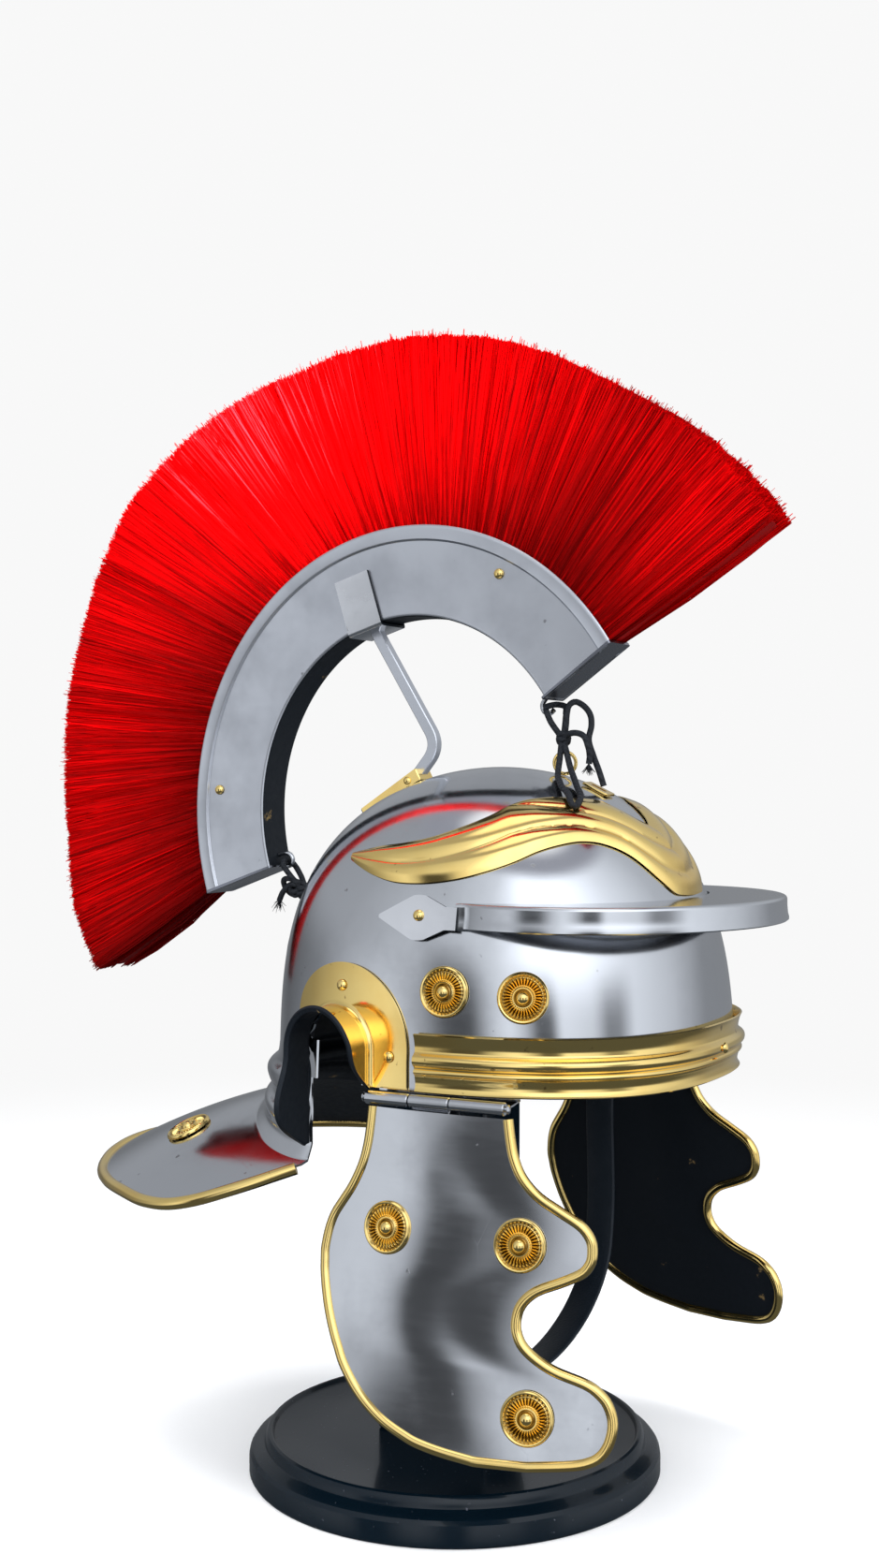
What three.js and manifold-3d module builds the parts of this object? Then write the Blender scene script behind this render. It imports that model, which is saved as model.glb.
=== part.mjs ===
// Roman legionary helmet with a red brush crest, on its plain display stand.
//
// Millimetres. Every shape is worked out with +X forward (the way the wearer faces), +Y to the
// wearer's left and +Z up, and the whole group is then turned so that the helmet faces -Y.
// The origin is the centre of the stand's underside. Pieces of the left side are mirrored
// to make the right side.

import * as THREE from 'three';
import { mergeVertices } from 'three/addons/utils/BufferGeometryUtils.js';
import Module from 'manifold-3d';

const wasm = await Module();
wasm.setup();

// Clearances
const seat = 0.3;             // gap between two pieces that rest on each other
const curvedSeat = 0.45;      // the same on a curved wall, with room for the facets
const weld = 1e-4;            // points closer than this are one point

// Stand
const baseRadius = 101.6;
const baseHeight = 20.6;
const plateRadius = 88.8;
const plateHeight = 18.4;
const postLength = 60;        // along the helmet's forward direction
const postWidth = 40;
const postForward = -3;
const headBlockRadius = 58;
const headBlockHeight = 82;

// Bowl
const bowlLength = 215;
const bowlWidth = 195.6;
const bowlHeight = 143.4;
const rimHeight = 203;        // from the stand's underside to the bowl's rim
const bowlForward = 29.4;
const bowlLean = 3.4;         // how far the crown sits behind the rim
const bowlWall = 1.2;
const crownPower = 3.26;      // how boxy the bowl is in height
const shoulderPower = 1.95;
const rimPower = 2.5;         // how boxy the rim is in plan
const crownPlanPower = 2;

// Nape and neck guard
const napeEdgeTurn = THREE.MathUtils.degToRad(116.5);
const napeRibDepth = 9;
const napeFlare = 12;
const guardWidth = 234;
const guardLength = 164.5;
const guardFront = -27.5;
const guardCrease = -90;      // forward place of the nape, where the slope is measured from
const guardRidgeDrop = 19.5;  // from the bowl's rim down to the ridge at the nape
const guardSlope = 0.216;
const guardDroop = 0.00154;
const guardArch = 0.0031;

// Rolled brass edges
const guardTrimRadius = 2.9;
const cheekTrimRadius = 2.3;

// Brow
const bandHeight = 25;
const bandTurn = THREE.MathUtils.degToRad(89);
const bandWall = 0.9;
const browForward = 83;
const browLength = 80.5;
const browTuck = 1.8;         // how far inside the rim's width its sides end
const browRise = 81;          // from the bowl's rim up to the brow guard
const browHeight = rimHeight + browRise;
const browLip = 10;
const browWall = 1.6;
const browTurn = THREE.MathUtils.degToRad(114);
const tabForward = 52;
const tabLength = 40;
const tabHeight = 20;

// Wings on the brow
const wingGap = 2;            // from the brow guard up to the wings
const wingRise = 48.5;
const wingTurn = 120;
const wingWall = 0.8;

// Ear openings and their guards
const earForward = -8.5;
const earHalfWidth = 18.5;
const earArchRise = 16;       // from the bowl's rim up to the arch's centre
const earArchHeight = rimHeight + earArchRise;
const earFlange = 19;
const earCollar = 18;
const earWall = 1;
const earLegDrop = 46;        // how far the rear leg runs down the nape edge from the arch

// Cheek guards
const cheekHeight = 142;
const cheekWidth = 138;
const cheekDrop = 7;          // from the bowl's rim down to the guard's top
const cheekTop = rimHeight - cheekDrop;
const cheekBack = -4.1;
const cheekMiddle = 70;       // where the curve of the plate is measured from
const cheekStandOff = 6.84;   // out from the bowl's side
const cheekFlare = 14.09;
const cheekWall = 1.2;

// Cheek hinges
const hingeBack = 12;
const hingeLength = 69;
const hingeDrop = 3.4;        // from the bowl's rim down to the pin
const hingeStandOff = 6.8;    // out from the bowl's side to the pin
const hingeToe = -0.023;      // how far the pin runs inwards for each millimetre forward
const knuckleRadius = 2.9;
const pinRadius = 1.1;
const pinClearance = 0.25;
const leafWall = 1;
const leafRoot = -2.4;        // where a moving leaf leaves its knuckle, out from the pin
const movingLeafLength = 16;
const leafRoom = 1.7;         // extra room between the fixed leaf and the bowl's inner facets

// Crest
const crestBack = -19.3;
const crestCentreRise = 122;  // from the bowl's rim up to the arch's centre
const crestCentreHeight = rimHeight + crestCentreRise;
const crestOuterLength = 130.8;
const crestOuterHeight = 141.8;
const crestDepth = 42;
const crestThickness = 21;
const crestWall = 1.2;
const crestStart = THREE.MathUtils.degToRad(34);
const crestEnd = THREE.MathUtils.degToRad(198.5);
const crestLip = 7;
const plumeReach = 240;
const plumeStart = THREE.MathUtils.degToRad(35.5);
const plumeEnd = THREE.MathUtils.degToRad(204.5);
const plumeThickness = 34;
const plumeLocks = 22;
const lockRidge = 1.2;
const lockTip = 3;

// Crest support
const clipTurn = THREE.MathUtils.degToRad(107.2);
const clipWidth = 20;
const clipRise = 27;
const clipWall = 1.3;
const clipGap = 1.2;          // under the box, with room for its facets
const barSide = 5.5;
const barBend = new THREE.Vector3(-9, 0, crestCentreHeight + 32);
const barBendReach = 7;
const slotPlateLength = 38;
const slotPlateWidth = 14;
const slotPlateWall = 2;
const slotRearHeight = 3;      // the socket's height at its rear end
const slotFrontHeight = 6.4;
const slotDepth = 16;         // how far back its slot for the bar's foot runs
const slotPlateForward = -28;

// Rosettes and rivets
const rosetteRadius = 11.4;
const rosetteHeight = 3.4;
const rivetRadius = 2.6;
const rivetHeight = 1.7;

// Chin strap
const strapWidth = 15.5;
const strapWall = 2.2;
const strapForward = 41;
const strapTuck = 12.8;       // in from the bowl's side to the hanging strap
const strapDrop = 148;        // from the bowl's rim down to the strap's lowest point
const strapBendDrop = 98;     // from the rim down to where the strap starts to turn

// Cords
const cordRadius = 1.5;

// Materials
function metal(color, roughness) {
  return new THREE.MeshStandardMaterial({ color, roughness, metalness: 1 });
}

function plain(color, roughness) {
  return new THREE.MeshStandardMaterial({ color, roughness, metalness: 0 });
}

const steel = metal(0xa4a8b0, 0.3);
const brass = metal(0xc9a04a, 0.25);
const blackWood = plain(0x0c0d10, 0.15);
const bristle = plain(0xd20a14, 0.6);
const leather = plain(0x141417, 0.5);
const cordBlack = plain(0x101012, 0.8);

// Closed solids from points and faces
function signedVolume(position, index) {
  const a = new THREE.Vector3();
  const b = new THREE.Vector3();
  const c = new THREE.Vector3();
  let sum = 0;
  for (let i = 0; i < index.length; i += 3) {
    a.fromBufferAttribute(position, index[i]);
    b.fromBufferAttribute(position, index[i + 1]);
    c.fromBufferAttribute(position, index[i + 2]);
    sum += a.dot(b.cross(c));
  }
  return sum / 6;
}

// Merges points that meet, drops flat triangles and turns every face out.
function closed(geometry) {
  const bare = geometry.clone();
  bare.deleteAttribute('normal');
  bare.deleteAttribute('uv');
  const merged = mergeVertices(bare, weld);
  const source = merged.index.array;
  const index = [];
  for (let i = 0; i < source.length; i += 3) {
    const [a, b, c] = [source[i], source[i + 1], source[i + 2]];
    if (a !== b && b !== c && c !== a) index.push(a, b, c);
  }
  if (signedVolume(merged.attributes.position, index) < 0) index.reverse();
  merged.setIndex(index);
  return merged;
}

function fromFaces(points, faces) {
  const geometry = new THREE.BufferGeometry();
  const index = [];
  for (const face of faces) {
    for (let k = 1; k + 1 < face.length; k += 1) index.push(face[0], face[k], face[k + 1]);
  }
  const coordinates = points.flatMap((p) => [p.x, p.y, p.z]);
  geometry.setAttribute('position', new THREE.Float32BufferAttribute(coordinates, 3));
  geometry.setIndex(index);
  return closed(geometry);
}

// A sheet wall over a grid: outer(i, j) and inner(i, j) give its two faces, keep(i, j) says
// which cells exist, and every open border gets a wall. around joins the last column to the first.
function sheetWall({ columns, rows, outer, inner, keep = () => true, around = false }) {
  const wide = around ? columns : columns + 1;
  const points = [];
  for (const side of [outer, inner]) {
    for (let i = 0; i < wide; i += 1) {
      for (let j = 0; j <= rows; j += 1) points.push(side(i, j));
    }
  }
  const at = (i, j, face) => face * wide * (rows + 1) + (i % wide) * (rows + 1) + j;
  const exists = (i, j) => {
    if (j < 0 || j >= rows) return false;
    if (!around && (i < 0 || i >= columns)) return false;
    return keep((i + columns) % columns, j);
  };
  const faces = [];
  for (let i = 0; i < columns; i += 1) {
    for (let j = 0; j < rows; j += 1) {
      if (!exists(i, j)) continue;
      const corners = [[i, j], [i + 1, j], [i + 1, j + 1], [i, j + 1]];
      const beyond = [[i, j - 1], [i + 1, j], [i, j + 1], [i - 1, j]];
      faces.push(corners.map(([u, v]) => at(u, v, 0)));
      faces.push(corners.map(([u, v]) => at(u, v, 1)).reverse());
      for (let k = 0; k < 4; k += 1) {
        if (exists(...beyond[k])) continue;
        const [a, b] = [corners[k], corners[(k + 1) % 4]];
        faces.push([at(...b, 0), at(...a, 0), at(...a, 1), at(...b, 1)]);
      }
    }
  }
  return fromFaces(points, faces);
}

// A solid through a row of sections with equal numbers of points. A section goes out along
// one side and back along the other, and its ends are closed from side to side.
function loft(sections) {
  const size = sections[0].length;
  const faces = [];
  for (let k = 0; k + 1 < sections.length; k += 1) {
    for (let i = 0; i < size; i += 1) {
      const next = (i + 1) % size;
      faces.push([k * size + i, k * size + next, (k + 1) * size + next, (k + 1) * size + i]);
    }
  }
  const end = (sections.length - 1) * size;
  for (let i = 0; i + 1 < size / 2; i += 1) {
    const strip = [i, i + 1, size - 2 - i, size - 1 - i];
    faces.push([...strip].reverse());
    faces.push(strip.map((k) => end + k));
  }
  return fromFaces(sections.flat(), faces);
}

// Joins and cuts
function toSolid(geometry) {
  return new wasm.Manifold(new wasm.Mesh({
    numProp: 3,
    vertProperties: new Float32Array(geometry.attributes.position.array),
    triVerts: new Uint32Array(geometry.index.array),
  }));
}

function fromSolid(solid) {
  const mesh = solid.getMesh();
  const geometry = new THREE.BufferGeometry();
  geometry.setAttribute('position', new THREE.Float32BufferAttribute(mesh.vertProperties, 3));
  geometry.setIndex([...mesh.triVerts]);
  return geometry;
}

function joined(geometries) {
  return fromSolid(geometries.map(toSolid).reduce((whole, part) => whole.add(part)));
}

function cut(geometry, cutters) {
  return fromSolid(cutters.map(toSolid).reduce((whole, part) => whole.subtract(part), toSolid(geometry)));
}

// Shared shapes
function vec(x, y, z) {
  return new THREE.Vector3(x, y, z);
}

function mirrored(geometry) {
  return closed(geometry.clone().scale(1, -1, 1));
}

function turned(profile, segments) {
  return closed(new THREE.LatheGeometry(profile.map(([r, h]) => new THREE.Vector2(r, h)), segments));
}

// Stands a shape made round +Y on a point, with its axis along a direction.
function placed(geometry, point, direction) {
  const spin = new THREE.Quaternion().setFromUnitVectors(vec(0, 1, 0), direction.clone().normalize());
  return closed(geometry.clone().applyQuaternion(spin).translate(point.x, point.y, point.z));
}

function tube(points, radius, sides, steps, isLoop = false) {
  const section = new THREE.Shape();
  for (let k = 0; k < sides; k += 1) {
    const turn = (k / sides) * 2 * Math.PI;
    const [x, y] = [radius * Math.cos(turn), radius * Math.sin(turn)];
    if (k === 0) section.moveTo(x, y);
    else section.lineTo(x, y);
  }
  section.closePath();
  const extrudePath = new THREE.CatmullRomCurve3(points, isLoop, 'centripetal');
  return closed(new THREE.ExtrudeGeometry(section, { steps, extrudePath, bevelEnabled: false }));
}

function interpolate(table, key, column) {
  const last = table.length - 1;
  if (key <= table[0][0]) return table[0][column];
  if (key >= table[last][0]) return table[last][column];
  const k = table.findIndex((row) => row[0] > key);
  const share = (key - table[k - 1][0]) / (table[k][0] - table[k - 1][0]);
  return table[k - 1][column] + share * (table[k][column] - table[k - 1][column]);
}

// Bowl surface
function power(value, exponent) {
  return Math.sign(value) * Math.abs(value) ** exponent;
}

function bowlWaist(height) {
  const rise = THREE.MathUtils.clamp((height - rimHeight) / bowlHeight, 0, 1);
  return {
    scale: (1 - rise ** crownPower) ** (1 / shoulderPower),
    plan: rimPower + (crownPlanPower - rimPower) * rise,
    forward: bowlForward - bowlLean * rise,
  };
}

// The wall's point at a plan turn (0 is the front) and a height.
function bowlWallPoint(turn, height, out = 0) {
  const { scale, plan, forward } = bowlWaist(height);
  const x = forward + (bowlLength / 2 * scale + out) * power(Math.cos(turn), 2 / plan);
  const y = (bowlWidth / 2 * scale + out) * power(Math.sin(turn), 2 / plan);
  return vec(x, y, height);
}

// The wall's distance out to the left at a forward place and a height.
function bowlSide(x, height, out = 0) {
  const { scale, plan, forward } = bowlWaist(height);
  const share = Math.abs((x - forward) / (bowlLength / 2 * scale + out));
  return (bowlWidth / 2 * scale + out) * Math.max(0, 1 - share ** plan) ** (1 / plan);
}

function bowlLevel(x, y, z) {
  const { scale, plan, forward } = bowlWaist(z);
  const narrow = Math.max(scale, 1e-3);
  const along = Math.abs((x - forward) / (bowlLength / 2 * narrow)) ** plan;
  const across = Math.abs(y / (bowlWidth / 2 * narrow)) ** plan;
  return (along + across) ** (1 / plan) * narrow;
}

function bowlNormal(point) {
  const step = 0.2;
  const slope = (axis) => {
    const ahead = point.clone();
    const behind = point.clone();
    ahead[axis] += step;
    behind[axis] -= step;
    const scales = [bowlWaist(ahead.z).scale, bowlWaist(behind.z).scale];
    return bowlLevel(ahead.x, ahead.y, ahead.z) - bowlLevel(behind.x, behind.y, behind.z)
      - (scales[0] - scales[1]);
  };
  return vec(slope('x'), slope('y'), slope('z')).normalize();
}

// A point on the bowl seen from its middle at an azimuth and a height, pushed out along the normal.
function bowlOn(azimuth, height, out) {
  const { scale, plan, forward } = bowlWaist(height);
  const along = Math.abs(Math.cos(azimuth) / (bowlLength / 2)) ** plan;
  const across = Math.abs(Math.sin(azimuth) / (bowlWidth / 2)) ** plan;
  const reach = scale / (along + across) ** (1 / plan);
  const point = vec(forward + reach * Math.cos(azimuth), reach * Math.sin(azimuth), height);
  return point.addScaledVector(bowlNormal(point), out);
}

// A point on the bowl above a place in plan.
function bowlAbove(x, y, out) {
  let low = rimHeight;
  let high = rimHeight + bowlHeight;
  for (let k = 0; k < 40; k += 1) {
    const middle = (low + high) / 2;
    if (bowlLevel(x, y, middle) > bowlWaist(middle).scale) high = middle;
    else low = middle;
  }
  const point = vec(x, y, low);
  return point.addScaledVector(bowlNormal(point), out);
}

// Neck guard surface: a sloping ridge with an arch across it.
function guardHeight(x, y) {
  const behind = guardCrease - x;
  return rimHeight - guardRidgeDrop - guardSlope * behind - guardDroop * behind ** 2 - guardArch * y ** 2;
}

function guardNormal(x, y) {
  const step = 0.5;
  const alongSlope = (guardHeight(x + step, y) - guardHeight(x - step, y)) / (2 * step);
  const acrossSlope = (guardHeight(x, y + step) - guardHeight(x, y - step)) / (2 * step);
  return vec(-alongSlope, -acrossSlope, 1).normalize();
}

// Outline of the neck guard in plan, from the middle of its rear edge to a front corner
const guardOutlineRows = [
  // way along the edge, way back, way out as shares
  [0.000, 1.000, 0.000],
  [0.136, 0.970, 0.274],
  [0.241, 0.915, 0.470],
  [0.333, 0.842, 0.628],
  [0.421, 0.751, 0.752],
  [0.532, 0.617, 0.876],
  [0.635, 0.483, 0.966],
  [0.713, 0.374, 1.000],
  [0.776, 0.283, 0.993],
  [0.842, 0.191, 0.958],
  [0.902, 0.112, 0.915],
  [0.954, 0.052, 0.873],
  [1.000, 0.000, 0.833],
];

function guardOutline(along) {
  const back = interpolate(guardOutlineRows, Math.abs(along), 1);
  const out = interpolate(guardOutlineRows, Math.abs(along), 2);
  return [guardFront - guardLength * back, Math.sign(along) * out * guardWidth / 2];
}

// The outline moved inwards, at a share of the way from its right corner to its left one.
function guardEdge(share, inset) {
  const along = share * 2 - 1;
  const step = 0.03;
  const [ax, ay] = guardOutline(Math.max(-1, along - step));
  const [bx, by] = guardOutline(Math.min(1, along + step));
  const [x, y] = guardOutline(along);
  const length = Math.hypot(bx - ax, by - ay);
  return [x + (inset * (by - ay)) / length, y - (inset * (bx - ax)) / length];
}

// Rows of the skull below the rim: how far down the nape, and how far out as a share of the ribs
const napeRows = [
  // down, out
  [0.00, 0.00],
  [0.16, 0.20],
  [0.32, 0.80],
  [0.46, 0.60],
  [0.54, 0.36],
  [0.68, 1.00],
  [0.86, 0.85],
  [1.00, 1.00],
];
const crownRows = [0, 0.22, 0.43, 0.61, 0.76, 0.88, 0.95, 0.987, 1];
const guardRows = 3;
const frontColumns = 20;
const napeColumns = 12;

function skullTurn(i) {
  if (i <= frontColumns) return -napeEdgeTurn + (2 * napeEdgeTurn * i) / frontColumns;
  return napeEdgeTurn + ((2 * Math.PI - 2 * napeEdgeTurn) * (i - frontColumns)) / napeColumns;
}

// One sheet: the bowl, the ribbed nape behind the ears and the arched neck guard.
function skullSurface(i, j) {
  const turn = skullTurn(i);
  const crownCount = crownRows.length - 1;
  if (j <= crownCount) {
    const height = rimHeight + 11 + (bowlHeight - 11) * crownRows[crownCount - j];
    return bowlWallPoint(turn, height);
  }
  const top = bowlWallPoint(turn, rimHeight + 11);
  const isNape = i > frontColumns || i === 0 || i === frontColumns;
  if (!isNape) {
    const share = Math.min(1, (j - crownCount) / 2);
    return top.clone().setZ(rimHeight + 11 * (1 - share));
  }
  const nape = i === 0 ? 1 : (i - frontColumns) / napeColumns;
  const fade = Math.sin(Math.PI * nape) ** 0.6;
  const outward = vec(top.x - bowlForward, top.y, 0).normalize();
  const foot = top.clone().addScaledVector(outward, 2 + napeFlare * fade);
  foot.z = guardHeight(foot.x, foot.y);
  const napeCount = napeRows.length - 1;
  if (j <= crownCount + napeCount) {
    const [down, out] = napeRows[j - crownCount];
    const isLast = j === crownCount + napeCount;
    const rib = isLast ? 2 + napeFlare * fade : out * napeRibDepth * fade;
    const point = top.clone().addScaledVector(outward, rib);
    point.z = top.z + (foot.z - top.z) * down;
    return point;
  }
  const share = (j - crownCount - napeCount) / guardRows;
  const [edgeX, edgeY] = guardEdge(1 - nape, guardTrimRadius * 2 + seat);
  const x = foot.x + (edgeX - foot.x) * share;
  const y = foot.y + (edgeY - foot.y) * share;
  return vec(x, y, guardHeight(x, y));
}

function skull() {
  const columns = frontColumns + napeColumns;
  const crownCount = crownRows.length - 1;
  const napeCount = napeRows.length - 1;
  const rows = crownCount + napeCount + guardRows;
  const outer = skullSurface;
  const normalAt = (i, j) => {
    const wrap = (k) => (k + columns) % columns;
    if (j === 0) return vec(0, 0, 1);
    const isFront = i > 0 && i < frontColumns;
    const lastRow = isFront ? crownCount + 2 : rows;
    const row = Math.min(j, lastRow);
    let before = wrap(i - 1);
    let after = wrap(i + 1);
    if (row > crownCount + 2 && i === frontColumns) before = i;
    if (row > crownCount + 2 && i === 0) after = i;
    if (row > crownCount && row <= crownCount + 2 && i === frontColumns) before = i;
    if (row > crownCount && row <= crownCount + 2 && i === 0) after = i;
    const across = outer(after, row).sub(outer(before, row));
    const down = outer(i, Math.min(row + 1, lastRow)).sub(outer(i, row - 1));
    const normal = down.cross(across).normalize();
    return normal;
  };
  const cells = new Map();
  const inner = (i, j) => {
    const key = i * 100 + j;
    if (!cells.has(key)) cells.set(key, outer(i, j).addScaledVector(normalAt(i, j), -bowlWall));
    return cells.get(key).clone();
  };
  const sheet = sheetWall({
    columns,
    rows,
    outer,
    inner,
    around: true,
    keep: (i, j) => j < crownCount || i >= frontColumns || j < crownCount + 2,
  });
  return cut(sheet, [earCutter(1), earCutter(-1)]);
}

// The arch of an ear opening in side view, from its front foot over the top to its rear foot.
function earArch(radius, share) {
  const frontDrop = earArchHeight - rimHeight;
  const rearDrop = earLegDrop;
  const arc = Math.PI * radius;
  const total = frontDrop + arc + rearDrop;
  const along = share * total;
  if (along < frontDrop) return [earForward + radius, rimHeight + along];
  if (along < frontDrop + arc) {
    const turn = (along - frontDrop) / radius;
    return [earForward + radius * Math.cos(turn), earArchHeight + radius * Math.sin(turn)];
  }
  return [earForward - radius, earArchHeight - (along - frontDrop - arc)];
}

function earCutter(side) {
  const outline = new THREE.Shape();
  outline.moveTo(earForward + earHalfWidth, rimHeight - 40);
  outline.lineTo(earForward + earHalfWidth, earArchHeight);
  outline.absarc(earForward, earArchHeight, earHalfWidth, 0, Math.PI, false);
  outline.lineTo(earForward - earHalfWidth, rimHeight - 40);
  outline.closePath();
  const block = new THREE.ExtrudeGeometry(outline, { depth: 60, bevelEnabled: false, curveSegments: 12 });
  block.rotateX(Math.PI / 2);
  block.translate(0, side > 0 ? 120 : -60, 0);
  return closed(block);
}

// A brass flange on the bowl round the ear opening, bent out into a collar along the arch.
function earGuard() {
  const columns = 18;
  const rows = 3;
  const radius = earHalfWidth + 0.4;
  const base = (i, j) => {
    const share = i / columns;
    const [x, z] = earArch(radius, share);
    const wall = (px, pz) => bowlSide(px, Math.max(pz, rimHeight), curvedSeat);
    if (j === 0) {
      const width = earFlange * interpolate(earFlangeRows, share, 1);
      const spread = (radius + width) / radius;
      const px = earForward + (x - earForward) * spread;
      const pz = z > earArchHeight ? earArchHeight + (z - earArchHeight) * spread : z;
      return vec(px, wall(px, pz), pz);
    }
    if (j === 1) return vec(x, wall(x, z), z);
    const reach = earCollar * interpolate(earFlangeRows, share, 2) * (j === 2 ? 0.5 : 1);
    return vec(x, wall(x, z) + Math.max(reach, 0.6 * j), z);
  };
  const lifted = (i, j) => {
    const point = base(i, j);
    const [x, z] = earArch(radius, i / columns);
    const outward = z > earArchHeight ? vec(x - earForward, 0, z - earArchHeight).normalize()
      : vec(Math.sign(x - earForward), 0, 0);
    if (j === 0) return point.add(vec(0, earWall, 0));
    if (j === 1) return point.add(vec(0, earWall, 0)).addScaledVector(outward, earWall);
    return point.addScaledVector(outward, earWall);
  };
  return sheetWall({ columns, rows, outer: lifted, inner: base });
}

// Ear guard along its arch: the flange's width and the collar's reach as shares of their sizes
const earFlangeRows = [
  // share, flange, collar
  [0.00, 1.00, 0.10],
  [0.11, 1.00, 0.85],
  [0.20, 1.02, 1.00],
  [0.40, 1.00, 1.00],
  [0.52, 0.80, 1.00],
  [0.60, 0.45, 1.00],
  [0.68, 0.06, 1.00],
  [0.93, 0.04, 1.00],
  [1.00, 0.04, 0.12],
];

// Brass brow band: a flared strip, two beads and a flat strip
const bandRows = [
  // share of height, out
  [1.00, 2.3],
  [0.70, 0.9],
  [0.64, 3.0],
  [0.55, 3.7],
  [0.46, 2.4],
  [0.34, 2.2],
  [0.28, 0.9],
  [0.00, 0.9],
];

function browBand() {
  const columns = 18;
  const place = (i, j, lift) => {
    const turn = -bandTurn + (2 * bandTurn * i) / columns;
    const [share, out] = bandRows[j];
    const height = rimHeight + bandHeight * share;
    return bowlWallPoint(turn, rimHeight, curvedSeat + out - bandWall + lift).setZ(height);
  };
  return sheetWall({
    columns,
    rows: bandRows.length - 1,
    outer: (i, j) => place(i, j, bandWall),
    inner: (i, j) => place(i, j, 0),
  });
}

// Steel brow guard: a level plate round the front, a lip turned down and a riveted tab each side.
function browGuard() {
  const columns = 22;
  const inPlan = (x, y, out, height) => {
    const azimuth = Math.atan2(y, x - bowlWaist(height).forward);
    return bowlOn(azimuth, height, out);
  };
  const base = (i, j) => {
    const turn = -browTurn + (2 * browTurn * i) / columns;
    const x = browForward + browLength * Math.cos(turn);
    const y = (bowlWidth / 2 - browTuck) * Math.sin(turn);
    const root = inPlan(x, y, curvedSeat, browHeight);
    const near = inPlan(x, y, 3.8, browHeight);
    const isOut = Math.hypot(x - bowlForward, y) > Math.hypot(near.x - bowlForward, near.y);
    const edge = isOut ? vec(x, y, browHeight) : vec(near.x, near.y, browHeight);
    if (j === 0) return vec(root.x, root.y, browHeight);
    if (j === 1) return edge;
    return edge.clone().setZ(browHeight - browLip);
  };
  const lifted = (i, j) => {
    const point = base(i, j);
    const turn = -browTurn + (2 * browTurn * i) / columns;
    const outward = vec(Math.cos(turn), Math.sin(turn), 0);
    if (j === 0) return point.add(vec(0, 0, browWall));
    if (j === 1) return point.add(vec(0, 0, browWall)).addScaledVector(outward, browWall);
    return point.addScaledVector(outward, browWall);
  };
  const visor = sheetWall({ columns, rows: 2, outer: lifted, inner: base });
  return joined([visor, browTab(1), browTab(-1)]);
}

// Lozenge outline of a brow guard tab from its front root to its rear tip
const tabRows = [
  // share of length, half height share
  [0.00, 0.50],
  [0.16, 0.50],
  [0.42, 1.00],
  [0.55, 1.00],
  [1.00, 0.06],
];

function browTab(side) {
  const columns = 8;
  const middle = browHeight - browLip / 2;
  const place = (i, j, out) => {
    const share = i / columns;
    const x = tabForward - tabLength * share;
    const half = (tabHeight / 2) * interpolate(tabRows, share, 1);
    const z = middle + (j - 1) * half;
    return vec(x, side * bowlSide(x, z, out), z);
  };
  return sheetWall({
    columns,
    rows: 2,
    outer: (i, j) => place(i, j, curvedSeat + 2 * browWall),
    inner: (i, j) => place(i, j, curvedSeat),
  });
}

// Wings from the front point round to a tip: lower and upper edge as shares of the rise
const wingRows = [
  // share of turn, low, high
  [0.000, 0.000, 0.660],
  [0.042, 0.000, 0.720],
  [0.083, 0.040, 0.825],
  [0.125, 0.175, 0.897],
  [0.183, 0.390, 0.909],
  [0.250, 0.503, 0.924],
  [0.308, 0.530, 0.932],
  [0.375, 0.501, 0.924],
  [0.433, 0.447, 0.907],
  [0.500, 0.351, 0.854],
  [0.567, 0.268, 0.763],
  [0.658, 0.186, 0.652],
  [0.750, 0.148, 0.557],
  [0.817, 0.157, 0.513],
  [0.900, 0.227, 0.474],
  [1.000, 0.336, 0.410],
];

// Height of the lengthwise folds across a wing
const wingFolds = [0, 1.7, 1.2, 0];

function browWings() {
  const half = wingRows.length - 1;
  const place = (i, j, lift) => {
    const k = i - half;
    const [share, low, high] = wingRows[Math.abs(k)];
    const azimuth = Math.sign(k) * THREE.MathUtils.degToRad(wingTurn * share);
    const across = j / (wingFolds.length - 1);
    const height = browHeight + wingGap + wingRise * (low + (high - low) * across);
    return bowlOn(azimuth, height, curvedSeat + 0.3 + wingFolds[j] + lift);
  };
  return sheetWall({
    columns: 2 * half,
    rows: wingFolds.length - 1,
    outer: (i, j) => place(i, j, wingWall),
    inner: (i, j) => place(i, j, 0),
  });
}

// Cheek guard surface and outline
function cheekSurface(x, z) {
  const down = (cheekTop - z) / 100;
  const ahead = (x - cheekMiddle) / 100;
  return bowlWidth / 2 + cheekStandOff + cheekFlare * down + 0.37 * down ** 2 - 8.05 * ahead - 13.28 * ahead ** 2
    - 7.03 * down * ahead;
}

const cheekRows = [
  // down, back, front as shares of the guard's height and width
  [0.000, 0.130, 0.640],
  [0.056, 0.129, 0.651],
  [0.113, 0.125, 0.667],
  [0.169, 0.113, 0.700],
  [0.211, 0.096, 0.748],
  [0.246, 0.078, 0.812],
  [0.282, 0.054, 0.876],
  [0.324, 0.027, 0.912],
  [0.366, 0.011, 0.921],
  [0.408, 0.003, 0.914],
  [0.444, 0.000, 0.884],
  [0.472, 0.003, 0.827],
  [0.500, 0.006, 0.758],
  [0.535, 0.013, 0.716],
  [0.570, 0.022, 0.703],
  [0.606, 0.033, 0.705],
  [0.641, 0.046, 0.725],
  [0.669, 0.058, 0.762],
  [0.697, 0.071, 0.817],
  [0.725, 0.086, 0.907],
  [0.761, 0.105, 0.962],
  [0.803, 0.136, 0.990],
  [0.845, 0.174, 1.000],
  [0.887, 0.224, 0.996],
  [0.923, 0.281, 0.983],
  [0.951, 0.344, 0.962],
  [0.968, 0.391, 0.937],
  [0.986, 0.480, 0.872],
  [1.000, 0.582, 0.741],
];

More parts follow.
